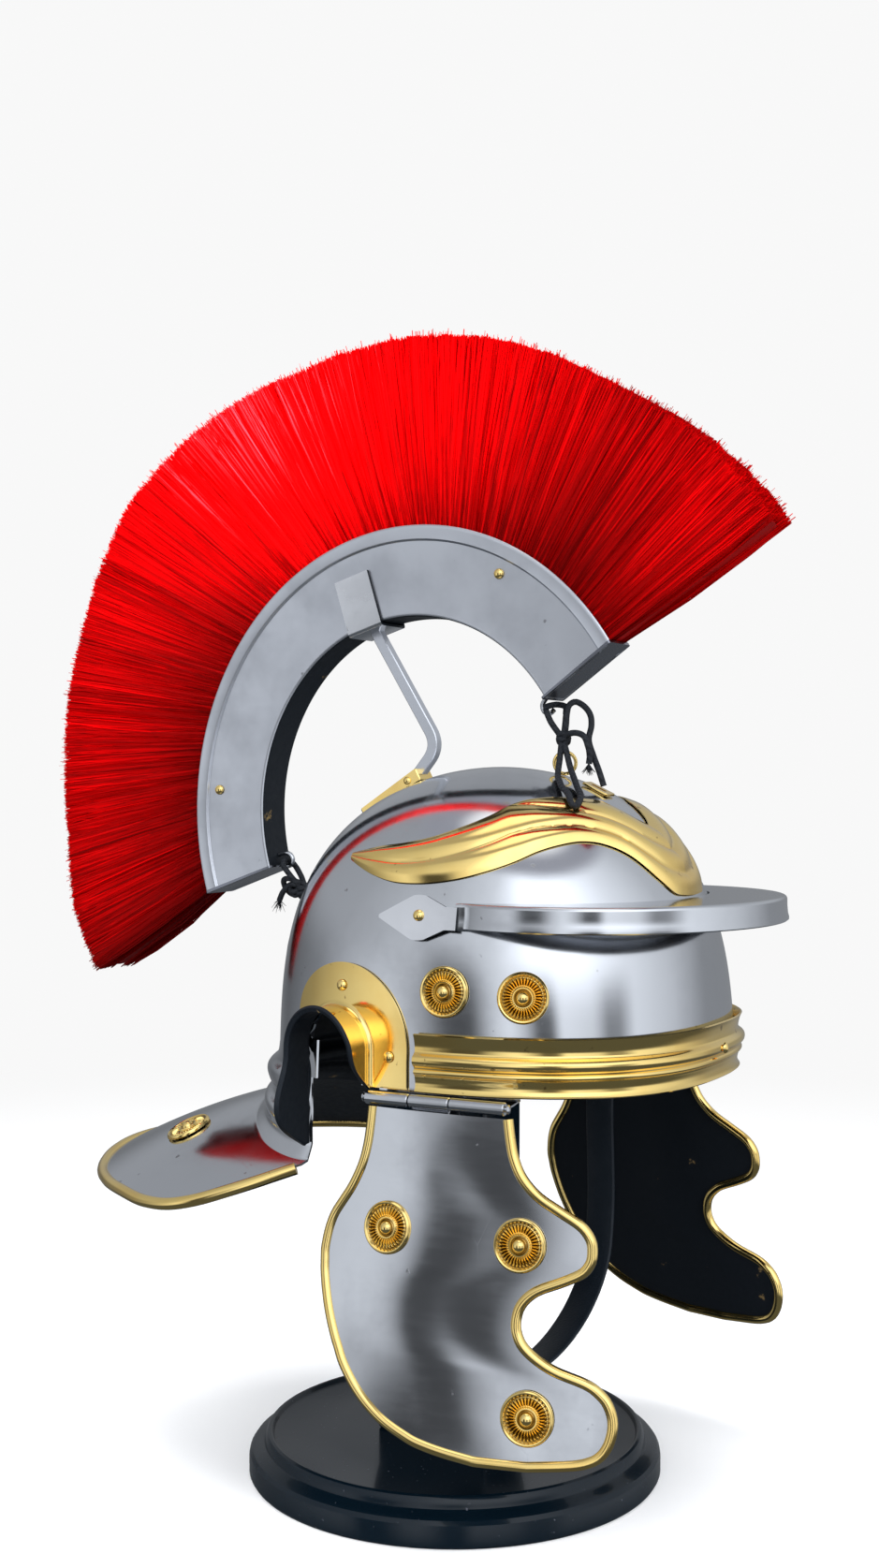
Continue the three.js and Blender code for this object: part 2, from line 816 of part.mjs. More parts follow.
function cheekNormal(x, z) {
  const step = 0.5;
  const ahead = (cheekSurface(x + step, z) - cheekSurface(x - step, z)) / (2 * step);
  const up = (cheekSurface(x, z + step) - cheekSurface(x, z - step)) / (2 * step);
  return vec(-ahead, 1, -up).normalize();
}

function cheekPoint(x, z, out) {
  return vec(x, cheekSurface(x, z), z).addScaledVector(cheekNormal(x, z), out);
}

// The outline in side view, from the top back corner down round the foot to the top front corner.
function cheekOutline() {
  const at = (row, column) => [cheekBack + cheekWidth * row[column], cheekTop - cheekHeight * row[0]];
  const back = cheekRows.map((row) => at(row, 1));
  const front = cheekRows.map((row) => at(row, 2)).reverse();
  return [...back, ...front];
}

// Each outline point moved inwards in side view, clear of the rolled edge.
function cheekInset(distance) {
  const outline = cheekOutline();
  const last = outline.length - 1;
  return outline.map(([x, z], k) => {
    if (k === 0) return [x + distance, z];
    if (k === last) return [x - distance, z];
    const [ax, az] = outline[k - 1];
    const [bx, bz] = outline[k + 1];
    const length = Math.hypot(bx - ax, bz - az);
    return [x - (distance * (bz - az)) / length, z + (distance * (bx - ax)) / length];
  });
}

function cheekPlate() {
  const columns = 3;
  const rows = cheekRows.length - 1;
  const inset = cheekInset(2 * cheekTrimRadius + 2 * seat + 0.55);
  const last = inset.length - 1;
  const place = (i, j, out) => {
    const [ax, az] = inset[j];
    const [bx, bz] = inset[last - j];
    const share = i / columns;
    return cheekPoint(ax + (bx - ax) * share, az + (bz - az) * share, out);
  };
  return sheetWall({
    columns,
    rows,
    outer: (i, j) => place(i, j, cheekWall / 2),
    inner: (i, j) => place(i, j, -cheekWall / 2),
  });
}

function cheekTrim() {
  const points = cheekInset(cheekTrimRadius).filter((_, k) => k % 2 === 0 || k < 3);
  return tube(points.map(([x, z]) => cheekPoint(x, z, 0)), cheekTrimRadius, 6, 42);
}

// Hinges
function hingePoint(share, outward = 0) {
  const x = hingeBack + hingeLength * share;
  return vec(x, bowlWidth / 2 + hingeStandOff + hingeToe * (x - hingeBack) + outward, rimHeight - hingeDrop);
}

const hingeDirection = hingePoint(1).sub(hingePoint(0)).normalize();
const knuckleShares = [[0.005, 0.314], [0.322, 0.604], [0.612, 0.99]];

function knuckle([from, to]) {
  const length = hingeLength * (to - from);
  const bore = pinRadius + pinClearance;
  const ring = turned([
    [bore, 0], [knuckleRadius, 0], [knuckleRadius, length], [bore, length], [bore, 0],
  ], 8);
  return placed(ring, hingePoint(from), hingeDirection);
}

// The fixed leaf: from its two knuckles in under the rim and up the inside of the bowl.
function fixedLeaf() {
  const [rear, middle, front] = knuckleShares;
  const shares = [rear[0], (rear[0] + rear[1]) / 2, rear[1], middle[0], (middle[0] + middle[1]) / 2,
    middle[1], front[0], (front[0] + front[1]) / 2, front[1]];
  const inside = -(bowlWall + curvedSeat + leafRoom);
  const heights = [-hingeDrop, -1.9, 8, 15];
  const place = (i, j, lift) => {
    const x = hingeBack + hingeLength * shares[i];
    const up = j < 2 ? lift * leafWall * 0.8 : 0;
    const out = j > 0 ? lift * leafWall * 0.8 : 0;
    const y = j === 0 ? hingePoint(shares[i], -knuckleRadius + 0.5).y : bowlSide(x, rimHeight, inside) + out;
    return vec(x, y, rimHeight + heights[j] + up);
  };
  return sheetWall({
    columns: shares.length - 1,
    rows: heights.length - 1,
    outer: (i, j) => place(i, j, 1),
    inner: (i, j) => place(i, j, 0),
    keep: (i, j) => j > 0 || i < 2 || i > 5,
  });
}

function pinBore() {
  const bore = pinRadius + pinClearance;
  return placed(turned([[0, -1], [bore, -1], [bore, hingeLength + 1], [0, hingeLength + 1]], 8),
    hingePoint(0), hingeDirection);
}

function fixedHinge() {
  const whole = joined([knuckle(knuckleShares[0]), knuckle(knuckleShares[2]), fixedLeaf()]);
  return cut(whole, [pinBore()]);
}

// The moving leaf: from the middle knuckle down the inside of the cheek guard.
function movingHinge() {
  const span = knuckleShares[1];
  const inside = -(cheekWall / 2 + seat + leafWall);
  const [low, high] = [hingeBack + hingeLength * span[0] + 0.4, hingeBack + hingeLength * span[1] - 0.4];
  const axisHeight = rimHeight - hingeDrop;
  const drops = [0, knuckleRadius - 0.3, 5, movingLeafLength];
  const place = (i, j, lift) => {
    const x = low + ((high - low) * i) / 2;
    const z = axisHeight - drops[j];
    const share = (x - hingeBack) / hingeLength;
    if (j < 2) return hingePoint(share, leafRoot + lift * leafWall).setZ(z);
    return cheekPoint(x, z, inside + lift * leafWall);
  };
  const leaf = sheetWall({
    columns: 2,
    rows: 3,
    outer: (i, j) => place(i, j, 1),
    inner: (i, j) => place(i, j, 0),
  });
  return cut(joined([knuckle(span), leaf]), [pinBore()]);
}

function hingePin() {
  const head = 2;
  const overhang = 0.6;
  const length = hingeLength + 2 * overhang;
  const start = hingePoint(0).addScaledVector(hingeDirection, -overhang);
  return placed(turned([
    [0, -1], [head, -0.6], [head, 0], [pinRadius, 0.01], [pinRadius, length],
    [head, length + 0.01], [head, length + 0.8], [0, length + 1.6],
  ], 8), start, hingeDirection);
}

// Rosettes and rivets stand on a surface point, with their axis along its normal.
const rosetteProfile = [
  // radius, height as shares
  [0.00, 0.00],
  [1.00, 0.00],
  [0.93, 0.50],
  [0.74, 0.26],
  [0.36, 0.52],
  [0.20, 0.92],
  [0.00, 1.00],
];

function rosette(point, normal) {
  const profile = rosetteProfile.map(([r, h]) => [r * rosetteRadius, h * rosetteHeight]);
  return placed(turned(profile, 8), point, normal);
}

function rivet(point, normal, size = 1) {
  const radius = rivetRadius * size;
  const high = rivetHeight * size;
  return placed(turned([
    [0, 0], [radius, 0], [radius * 0.7, high * 0.8], [0, high],
  ], 7), point, normal);
}

function onBowl(x, z, out) {
  const side = bowlSide(x, z);
  const point = vec(x, side, z);
  const normal = bowlNormal(point);
  return { point: point.addScaledVector(normal, out), normal };
}

// Crest box
function crestPoint(turn, inset, y) {
  const x = crestBack + (crestOuterLength - inset) * Math.cos(turn);
  const z = crestCentreHeight + (crestOuterHeight - inset * 1.08) * Math.sin(turn);
  return vec(x, y, z);
}

function archLoft(start, end, steps, section) {
  const sections = [];
  for (let k = 0; k <= steps; k += 1) {
    const turn = start + ((end - start) * k) / steps;
    sections.push(section(turn).map(([inset, y]) => crestPoint(turn, inset, y)));
  }
  return loft(sections);
}

function crestBox() {
  const half = crestThickness / 2;
  const steps = 20;
  const whole = archLoft(crestStart, crestEnd, steps, () => [
    [0, half + 0.8], [crestLip, half + 0.8], [crestLip + 0.6, half], [crestDepth, half],
    [crestDepth, -half], [crestLip + 0.6, -half], [crestLip, -half - 0.8], [0, -half - 0.8],
  ]);
  const margin = 0.012;
  const hollow = archLoft(crestStart + margin, crestEnd - margin, steps, () => [
    [-3, -half + crestWall], [-3, half - crestWall],
    [crestDepth - crestWall, half - crestWall], [crestDepth - crestWall, -half + crestWall],
  ]);
  return cut(whole, [hollow]);
}

// Tip of the plume along the crest: how far round, and how far out
const plumeRows = [
  // share of turn, reach
  [0.000, 0.964],
  [0.085, 0.962],
  [0.155, 0.954],
  [0.235, 0.973],
  [0.305, 0.980],
  [0.410, 0.973],
  [0.490, 0.990],
  [0.566, 0.996],
  [0.600, 1.000],
  [0.640, 0.980],
  [0.695, 0.955],
  [0.755, 0.938],
  [0.817, 0.917],
  [0.880, 0.903],
  [0.943, 0.913],
  [1.000, 0.895],
];

// The brush: locks that fan out from a backing held in the box, each with its own ridge and tip.
function crestPlume() {
  const half = crestThickness / 2 - crestWall - seat;
  const tipHalf = plumeThickness / 2;
  const rootStart = crestStart + 0.016;
  const rootEnd = crestEnd - 0.016;
  const steps = 2 * plumeLocks;
  const sections = [];
  for (let k = 0; k <= steps; k += 1) {
    const share = k / steps;
    const rootTurn = rootStart + (rootEnd - rootStart) * share;
    const tipTurn = plumeStart + (plumeEnd - plumeStart) * share;
    const isRidge = k % 2 === 1;
    const reach = plumeReach * interpolate(plumeRows, share, 1) - (isRidge ? 0 : lockTip);
    const tip = vec(crestBack + reach * Math.cos(tipTurn), 0, crestCentreHeight + reach * Math.sin(tipTurn));
    const root = crestPoint(rootTurn, crestDepth - crestWall - 0.4, 0);
    const rim = crestPoint(rootTurn, 0, 0);
    const ridge = isRidge ? lockRidge : 0;
    const section = [];
    const rows = [
      [root, half], [rim, half], [rim.clone().lerp(tip, 0.1), half + 1 + ridge * 0.4],
      [rim.clone().lerp(tip, 0.92), tipHalf - 1 + ridge],
    ];
    for (const [middle, width] of rows) section.push(middle.clone().setY(width));
    section.push(tip.clone().setY(tipHalf * 0.45));
    section.push(tip.clone().setY(-tipHalf * 0.45));
    for (const [middle, width] of [...rows].reverse()) section.push(middle.clone().setY(-width));
    sections.push(section);
  }
  return loft(sections);
}

// Support: a clip round the box and a square bar bent down to the crown, in one piece of steel.
function crestSupport() {
  const half = crestThickness / 2;
  const along = vec(-Math.sin(clipTurn), 0, Math.cos(clipTurn)).normalize();
  const outward = vec(Math.cos(clipTurn), 0, Math.sin(clipTurn)).normalize();
  const under = crestPoint(clipTurn, crestDepth, 0);
  const wall = clipWall;
  const corner = (s, y, r) => under.clone().addScaledVector(along, s).addScaledVector(outward, r).setY(y);
  const section = (s) => [
    corner(s, -half - seat - wall, -clipGap - wall), corner(s, half + seat + wall, -clipGap - wall),
    corner(s, half + seat + wall, clipRise), corner(s, half + seat, clipRise),
    corner(s, half + seat, -clipGap), corner(s, -half - seat, -clipGap),
    corner(s, -half - seat, clipRise), corner(s, -half - seat - wall, clipRise),
  ];
  const size = 8;
  const points = [...section(-clipWidth / 2), ...section(clipWidth / 2)];
  const faces = [];
  for (let i = 0; i < size; i += 1) {
    faces.push([i, (i + 1) % size, size + ((i + 1) % size), size + i]);
  }
  for (const quad of [[0, 1, 4, 5], [1, 2, 3, 4], [0, 5, 6, 7]]) {
    faces.push([...quad].reverse());
    faces.push(quad.map((i) => i + size));
  }
  const clip = fromFaces(points, faces);
  const low = slotPlatePoint(11, slotPlateWall + 2 * seat + 2.3);
  const high = under.clone().addScaledVector(outward, -clipGap - clipWall / 2);
  const reachIn = (from, to) => from.clone().add(to.clone().sub(from).setLength(barBendReach));
  const [above, below] = [reachIn(barBend, high), reachIn(barBend, low)];
  const curve = new THREE.QuadraticBezierCurve3(above, barBend, below);
  const bent = [0, 0.33, 0.66, 1].map((t) => curve.getPoint(t));
  const route = [high, high.clone().lerp(above, 0.5), ...bent, low];
  const side = barSide / 2;
  const sections = route.map((point, k) => {
    const before = route[Math.max(0, k - 1)];
    const after = route[Math.min(route.length - 1, k + 1)];
    const ahead = after.clone().sub(before).normalize();
    const across = vec(-ahead.z, 0, ahead.x).multiplyScalar(side);
    return [[-1, -1], [1, -1], [1, 1], [-1, 1]].map(([a, b]) => {
      return point.clone().addScaledVector(across, a).setY(b * side);
    });
  });
  return joined([clip, loft(sections)]);
}

// The slot plate lies on the crown behind the top, square to the bowl there.
function slotPlatePlace(out) {
  const point = bowlAbove(slotPlateForward, 0, out);
  const normal = bowlNormal(bowlAbove(slotPlateForward, 0, 0));
  return { point, normal };
}

function plateOn(point, normal, length, width, wall, ahead) {
  const forward = ahead.clone().addScaledVector(normal, -ahead.dot(normal)).normalize();
  const across = normal.clone().cross(forward);
  const corners = [];
  for (const up of [0, wall]) {
    for (const [a, b] of [[-1, -1], [1, -1], [1, 1], [-1, 1]]) {
      corners.push(point.clone().addScaledVector(forward, (a * length) / 2)
        .addScaledVector(across, (b * width) / 2).addScaledVector(normal, up));
    }
  }
  const sides = [[0, 1, 5, 4], [1, 2, 6, 5], [2, 3, 7, 6], [3, 0, 4, 7]];
  return fromFaces(corners, [[3, 2, 1, 0], [4, 5, 6, 7], ...sides]);
}

// A point of the slot plate's plane, ahead of where it touches the crown.
function slotPlatePoint(ahead, out) {
  const { point, normal } = slotPlatePlace(0);
  const forward = vec(1, 0, 0).addScaledVector(normal, -normal.x).normalize();
  return point.addScaledVector(forward, ahead).addScaledVector(normal, out);
}

// A wedge-shaped brass socket with a slot in its front end that takes the bar's foot
function slotPlate() {
  const front = 14;
  const half = slotPlateWidth / 2;
  const room = barSide / 2 + 2 * seat;
  const block = (rear, ahead, rearTop, aheadTop, low, width) => {
    const corners = [[rear, low], [ahead, low], [ahead, aheadTop], [rear, rearTop]];
    const sides = [-width, width].map((y) => corners.map(([x, up]) => slotPlatePoint(x, up).setY(y)));
    return fromFaces(sides.flat(), [[0, 1, 2, 3], [7, 6, 5, 4], [0, 4, 5, 1], [1, 5, 6, 2], [2, 6, 7, 3], [3, 7, 4, 0]]);
  };
  const wedge = block(front - slotPlateLength, front, seat + slotRearHeight, seat + slotFrontHeight, seat, half);
  const reach = front - slotDepth;
  const slot = block(reach, front + 1, slotFrontHeight + 5, slotFrontHeight + 5, seat + slotPlateWall, room);
  return cut(wedge, [slot]);
}

// Stand
function standBase() {
  return turned([
    [0, 0], [baseRadius - 2, 0], [baseRadius, 2], [baseRadius, 9], [baseRadius - 2, 12.5],
    [baseRadius - 7, 15], [baseRadius - 8.2, 18],
    [baseRadius - 10.6, baseHeight], [plateRadius, plateHeight], [0, plateHeight],
  ], 24).rotateX(Math.PI / 2);
}

const headBlockTop = rimHeight + bowlHeight - bowlWall - 0.6;
const headBlockBottom = headBlockTop - headBlockHeight;

function standPost() {
  const low = plateHeight + seat;
  const high = headBlockBottom - seat;
  return closed(new THREE.BoxGeometry(postLength, postWidth, high - low)
    .translate(postForward, 0, (low + high) / 2));
}

function headBlock() {
  const r = headBlockRadius;
  const profile = [
    [0, 0], [r, 0], [r, headBlockHeight - 46], [r - 7, headBlockHeight - 22],
    [r - 24, headBlockHeight - 6.5], [0, headBlockHeight],
  ];
  return turned(profile, 16).rotateX(Math.PI / 2).translate(bowlForward - bowlLean, 0, headBlockBottom);
}

// Neck guard trim: a rolled edge from corner to corner.
function guardTrim() {
  const points = [];
  for (let k = 0; k <= 20; k += 1) {
    const [x, y] = guardEdge(k / 20, guardTrimRadius);
    points.push(vec(x, y, guardHeight(x, y) - bowlWall / 2));
  }
  return tube(points, guardTrimRadius, 6, 26);
}

// Chin strap: a loop of leather from the bowl's inside on one side to the other.
function strapRoute() {
  const top = rimHeight + 38;
  const span = bowlWidth / 2 - strapTuck;
  const bend = rimHeight - strapBendDrop;
  const wallIn = bowlSide(strapForward, rimHeight + 30) - bowlWall - curvedSeat - strapWall / 2 - 1.6;
  const left = [
    [wallIn, top], [wallIn, rimHeight + 28], [wallIn - 3.5, rimHeight + 10],
    [span + 1, rimHeight - 8], [span, rimHeight - 33],
  ];
  const bottom = [];
  for (let k = 0; k <= 12; k += 1) {
    const turn = (k / 12) * Math.PI;
    bottom.push([span * Math.cos(turn), bend - (strapDrop - strapBendDrop) * Math.sin(turn)]);
  }
  const right = left.map(([y, z]) => [-y, z]).reverse();
  return [...left, ...bottom, ...right];
}

function chinStrap() {
  const points = strapRoute().map(([y, z]) => vec(strapForward, y, z));
  const curve = new THREE.CatmullRomCurve3(points, false, 'centripetal');
  const steps = 28;
  const sections = [];
  for (let k = 0; k <= steps; k += 1) {
    const point = curve.getPointAt(k / steps);
    const ahead = curve.getTangentAt(k / steps);
    const across = vec(0, -ahead.z, ahead.y).normalize();
    sections.push([[-1, -1], [1, -1], [1, 1], [-1, 1]].map(([a, b]) => {
      return point.clone().add(vec((a * strapWidth) / 2, 0, 0)).addScaledVector(across, (b * strapWall) / 2);
    }));
  }
  return loft(sections);
}

// Cord routes, chosen by hand: each point is forward, right and up
const frontTieHang = [
  [60, 3, 359], [60.6, 6.5, 350], [62.1, 11.9, 342.6], [67.7, 21.7, 339.1], [71, 26.8, 336.9],
  [75.2, 31.6, 335], [79.4, 36.6, 332.4], [82.3, 39.8, 328.8], [84, 40.3, 327.8], [83.9, 36.1, 329.6],
  [80.9, 27.1, 333], [76, 19.9, 336.2], [71.4, 13.4, 340.4], [67, 8.5, 346], [63.5, 5, 353], [61, 3, 359],
];
const frontTieSecond = [
  [61, 3, 360], [65, 5, 362], [69.2, 6, 362.3], [73.5, 7, 360.6], [75.5, 7, 356.2], [76, 6, 351.3], [75.6, 6, 347.5],
];
const frontTieBow = [
  [60.5, 2, 359], [62, 2.5, 366], [62.3, 2, 372], [62.5, 0, 375.8], [64.3, -3, 377.6], [68.6, -4, 375.4],
  [72, -4, 370.8], [72.9, -3, 366.3], [72.4, -1, 359.5], [75.7, 1, 351.4], [79.2, 2, 343.8], [81.3, 1.5, 337],
];
const frontTieLoop = [
  [59, 3, 361.5], [54.5, 5, 369], [52.4, 4.6, 374.5], [52.4, 0, 375.9], [54.5, -4.5, 376.5], [58.5, -4, 375.5],
  [60.3, -1, 371.5], [60.2, 0, 365], [60, 1, 360],
];
const rearTieStrand = [
  [-88.3, 0.6, 276.9], [-91, 1, 270.5], [-94.5, 1.5, 262],
  [-97, 2, 252], [-97.5, 2.5, 243], [-96.5, 2.5, 233.5],
  [-95, 2, 224], [-90, 1.5, 216.5], [-82.1, 1, 211.6],
];
const rearTieLoop = [
  [-90.5, 3, 285], [-95, 4.8, 290.5], [-99.6, 4.6, 296.4], [-100.6, 0, 298.4],
  [-99.6, -4.6, 296.4], [-95, -4.8, 290.5], [-90.5, -2, 285],
];
const rearTieEnd = [
  [-91, 2, 286], [-96, 3, 285.5], [-100, 3.5, 282], [-103, 3, 277],
];

function cordAlong(route, sides = 5, steps = Math.round(1.4 * route.length)) {
  return tube(route.map(([x, y, z]) => vec(x, -y, z)), cordRadius, sides, steps);
}

function knotAt(x, y, z, size) {
  return closed(new THREE.IcosahedronGeometry(size, 0).scale(1, 0.9, 1.15).translate(x, -y, z));
}

function frontTie() {
  const strands = [frontTieHang, frontTieSecond, frontTieBow, frontTieLoop];
  return joined([...strands.map((route) => cordAlong(route)), knotAt(60.5, 2, 359.8, 4.2)]);
}

function rearTie() {
  return joined([...[rearTieLoop, rearTieEnd].map((route) => cordAlong(route)), knotAt(-89, 1, 282.5, 5)]);
}

// A bent wire hook under each end of the crest box.
function crestHook(turn, lean) {
  const root = crestPoint(turn, crestDepth, 0);
  const down = vec(crestBack - root.x, 0, crestCentreHeight - root.z).normalize();
  const along = vec(-down.z, 0, down.x);
  const at = (a, d) => root.clone().addScaledVector(along, a * lean).addScaledVector(down, d + seat);
  return tube([at(0, 0), at(0, 3), at(1.5, 6.5), at(4.5, 7.5), at(7, 5.5), at(7, 2.8)], 1.2, 5, 9);
}

function crownPlate() {
  const [x, y] = [78, -1];
  return plateOn(bowlAbove(x, y, seat), bowlNormal(bowlAbove(x, y, 0)), 14, 10, 1.2, vec(1, 0, 0));
}

function tieRing() {
  const ring = new THREE.TorusGeometry(5.2, 0.9, 5, 12);
  ring.rotateX(Math.PI / 2);
  ring.rotateZ(0.5);
  const place = bowlAbove(58, 1.6, seat + 5.9);
  return closed(ring.translate(place.x, place.y, place.z));
}

// Assembly
const helmet = new THREE.Group();
helmet.rotation.z = -Math.PI / 2;

function add(name, geometry, material) {
  const mesh = new THREE.Mesh(geometry, material);
  mesh.name = name;
  helmet.add(mesh);
}

function addPair(name, geometry, material) {
  add(`${name}_left`, geometry, material);
  add(`${name}_right`, mirrored(geometry), material);
}

add('stand_base', closed(standBase()), blackWood);
add('stand_post', standPost(), blackWood);
add('stand_head_block', closed(headBlock()), blackWood);
add('skull', skull(), steel);
add('neck_guard_trim', guardTrim(), brass);
add('brow_band', browBand(), brass);
add('brow_guard', browGuard(), steel);
add('brow_wings', browWings(), brass);
addPair('ear_guard', earGuard(), brass);

const outerBand = bowlWallPoint(0, rimHeight, curvedSeat + bandRows[3][1] + seat);
add('brow_band_rivet', rivet(outerBand.setZ(rimHeight + bandHeight * bandRows[3][0]), vec(1, 0, 0)), brass);

const tabRivet = onBowl(33, browHeight - browLip / 2, curvedSeat + 2 * browWall + seat + 0.3);
addPair('brow_guard_rivet', rivet(tabRivet.point, tabRivet.normal), brass);

const earRivets = [['ear_guard_rivet_upper', 2.5, 28], ['ear_guard_rivet_lower', 29, -2]];
for (const [name, ahead, up] of earRivets) {
  const spot = onBowl(earForward + ahead, earArchHeight + up, curvedSeat + earWall + seat);
  addPair(name, rivet(spot.point, spot.normal), brass);
}

const bowlRosettes = [['bowl_rosette_rear', 47, 44], ['bowl_rosette_front', 81.5, 42.5]];
for (const [name, x, up] of bowlRosettes) {
  const spot = onBowl(x, rimHeight + up, seat + 0.1);
  addPair(name, rosette(spot.point, spot.normal), brass);
}

const guardRosetteX = -120;
const guardRosetteY = 58;
const guardRosetteNormal = guardNormal(guardRosetteX, guardRosetteY);
const guardRosettePoint = vec(guardRosetteX, guardRosetteY, guardHeight(guardRosetteX, guardRosetteY))
  .addScaledVector(guardRosetteNormal, 0.5);
addPair('neck_guard_rosette', rosette(guardRosettePoint, guardRosetteNormal), brass);

add('crest_box', crestBox(), steel);
add('crest_plume', crestPlume(), bristle);
add('crest_support', crestSupport(), steel);
add('crest_slot_plate', slotPlate(), brass);
add('crest_hook_front', crestHook(crestStart + 0.03, 1), steel);
add('crest_hook_rear', crestHook(crestEnd - 0.07, -1), steel);
const crestRivets = [['crest_rivet_front', 65], ['crest_rivet_rear', 175.5]];
for (const [name, degrees] of crestRivets) {
  const spot = crestPoint(THREE.MathUtils.degToRad(degrees), crestLip + 7, crestThickness / 2 + seat);
  addPair(name, rivet(spot, vec(0, 1, 0)), brass);
}

const slotRivet = slotPlatePoint(7, slotFrontHeight / 2).setY(-slotPlateWidth / 2 - seat);
add('crest_slot_plate_rivet', rivet(slotRivet, vec(0, -1, 0), 0.8), brass);

add('crown_plate', crownPlate(), brass);
add('tie_ring', tieRing(), brass);
add('front_tie', frontTie(), cordBlack);
add('rear_tie', rearTie(), cordBlack);
add('rear_tie_strand', cordAlong(rearTieStrand, 8, 12), cordBlack);
add('chin_strap', chinStrap(), leather);

addPair('hinge_fixed', fixedHinge(), steel);
addPair('hinge_pin', hingePin(), steel);
addPair('hinge_moving', movingHinge(), steel);
addPair('cheek_plate', cheekPlate(), steel);
addPair('cheek_trim', cheekTrim(), brass);
const cheekRosettes = [['rear', 29.5, 50], ['front', 90.5, 51.5], ['lower', 97.5, 120.5]];
for (const [name, x, down] of cheekRosettes) {
  const z = cheekTop - down;
  const spot = cheekPoint(x, z, cheekWall / 2 + seat + 0.25);
  addPair(`cheek_rosette_${name}`, rosette(spot, cheekNormal(x, z)), brass);
}

export default helmet;
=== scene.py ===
# %% [markdown]
# This file dresses a Roman legionary helmet on its display stand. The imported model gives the
# frame: every piece below is worked out in helmet millimetres (forward, left, up) and put into
# the row frame in metres, so that it lies on the solid that it stands for.

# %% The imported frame
import bpy
import math
import numpy as np
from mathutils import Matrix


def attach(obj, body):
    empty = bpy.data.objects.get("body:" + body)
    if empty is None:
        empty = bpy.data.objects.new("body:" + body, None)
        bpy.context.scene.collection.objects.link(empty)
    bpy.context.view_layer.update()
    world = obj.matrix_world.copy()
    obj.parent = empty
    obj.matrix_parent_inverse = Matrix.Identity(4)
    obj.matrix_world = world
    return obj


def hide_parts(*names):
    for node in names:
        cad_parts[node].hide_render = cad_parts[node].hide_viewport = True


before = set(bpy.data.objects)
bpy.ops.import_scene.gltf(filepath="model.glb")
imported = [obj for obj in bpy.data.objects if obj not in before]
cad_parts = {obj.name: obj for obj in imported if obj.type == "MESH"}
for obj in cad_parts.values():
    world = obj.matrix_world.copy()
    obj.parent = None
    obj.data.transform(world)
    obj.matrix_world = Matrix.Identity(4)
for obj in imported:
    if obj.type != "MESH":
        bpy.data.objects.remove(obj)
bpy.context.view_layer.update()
HELMET, CHEEK = "helmet_on_stand", "cheek_guard_"
random = np.random.default_rng(7)


def row(forward, left, up):
    """Helmet millimetres to metres: x is left, y is minus forward, z is up."""
    return np.stack(np.broadcast_arrays(left, -np.asarray(forward, float), up), axis=-1) * 0.001


# %% [markdown]
# The camera stands at the wearer's right front, level with the bowl. Its lens and place come from
# the round base and the bowl's rim. It is made first, and the cords are the first pieces, because
# the room that a cord may take depends on what the camera sees.

# %% Camera
TURN, LENS = math.radians(61.5), 36 * 1900 / 1675
camera = bpy.data.objects.new("camera", bpy.data.cameras.new("camera"))
camera.location = (-0.7777, -0.4223, 0.338)
camera.rotation_euler = (math.pi / 2, 0, -TURN)
camera.data.lens = LENS
camera.data.shift_x = -16.5 / 1675
bpy.context.scene.collection.objects.link(camera)
bpy.context.scene.camera = camera

# %% [markdown]
# Every shape below is a grid of points worked out at once. These helpers turn a grid into
# triangles, weld the points that meet, give a sheet its wall and put the result into a mesh.

# %% Surfaces from grids
class Surface:
    """Points, triangles, one UV pair for each triangle corner, and one finish number per triangle."""

    def __init__(self, points, faces, uv, finish):
        self.points, self.faces, self.uv, self.finish = points, faces, uv, finish


def facing(points, faces, away):
    """Whether the faces, taken together, face away from a point."""
    corner = points[faces]
    normal = np.cross(corner[:, 1] - corner[:, 0], corner[:, 2] - corner[:, 0])
    return ((corner.mean(axis=1) - away) * normal).sum() >= 0


def flipped(surface):
    """The same surface with its faces turned over."""
    return Surface(surface.points, surface.faces[:, ::-1], surface.uv[:, ::-1], surface.finish)


def outward(shape):
    """A closed shape with its faces outwards, so that the volume inside them counts as positive."""
    a, b, c = shape.points[shape.faces].transpose(1, 0, 2)
    return flipped(shape) if (np.cross(a, b) * c).sum() < 0 else shape


def mirrored(surface):
    """The same shape on the other side, with its faces turned back outwards."""
    return flipped(Surface(surface.points * [-1, 1, 1], surface.faces, surface.uv, surface.finish))


def grid(points, wrap=False, away=None, v=1.0, finish=0, keep=None):
    """Two triangles between each four neighbouring points; wrap joins the last column to the first."""
    rows, columns = points.shape[:2]
    wide = columns if wrap else columns - 1
    r, c = np.meshgrid(np.arange(rows - 1), np.arange(wide), indexing="ij")
    corners = np.stack([[r, c], [r, c + 1], [r + 1, c + 1], [r + 1, c]]).reshape(4, 2, -1)
    order = np.array([[0, 1, 2], [0, 2, 3]])
    pick = corners[order].transpose(3, 0, 1, 2)
    if keep is not None:
        pick = pick[keep.ravel()]
    pick = pick.reshape(-1, 3, 2)
    faces = pick[..., 0] * columns + pick[..., 1] % columns
    uv = np.stack([pick[..., 1] / wide, pick[..., 0] / (rows - 1) * v], axis=-1)
    flat = points.reshape(-1, 3)
    shape = Surface(flat, faces, uv, np.full(len(faces), finish))
    return shape if away is None or facing(flat, faces, np.asarray(away, float)) else flipped(shape)


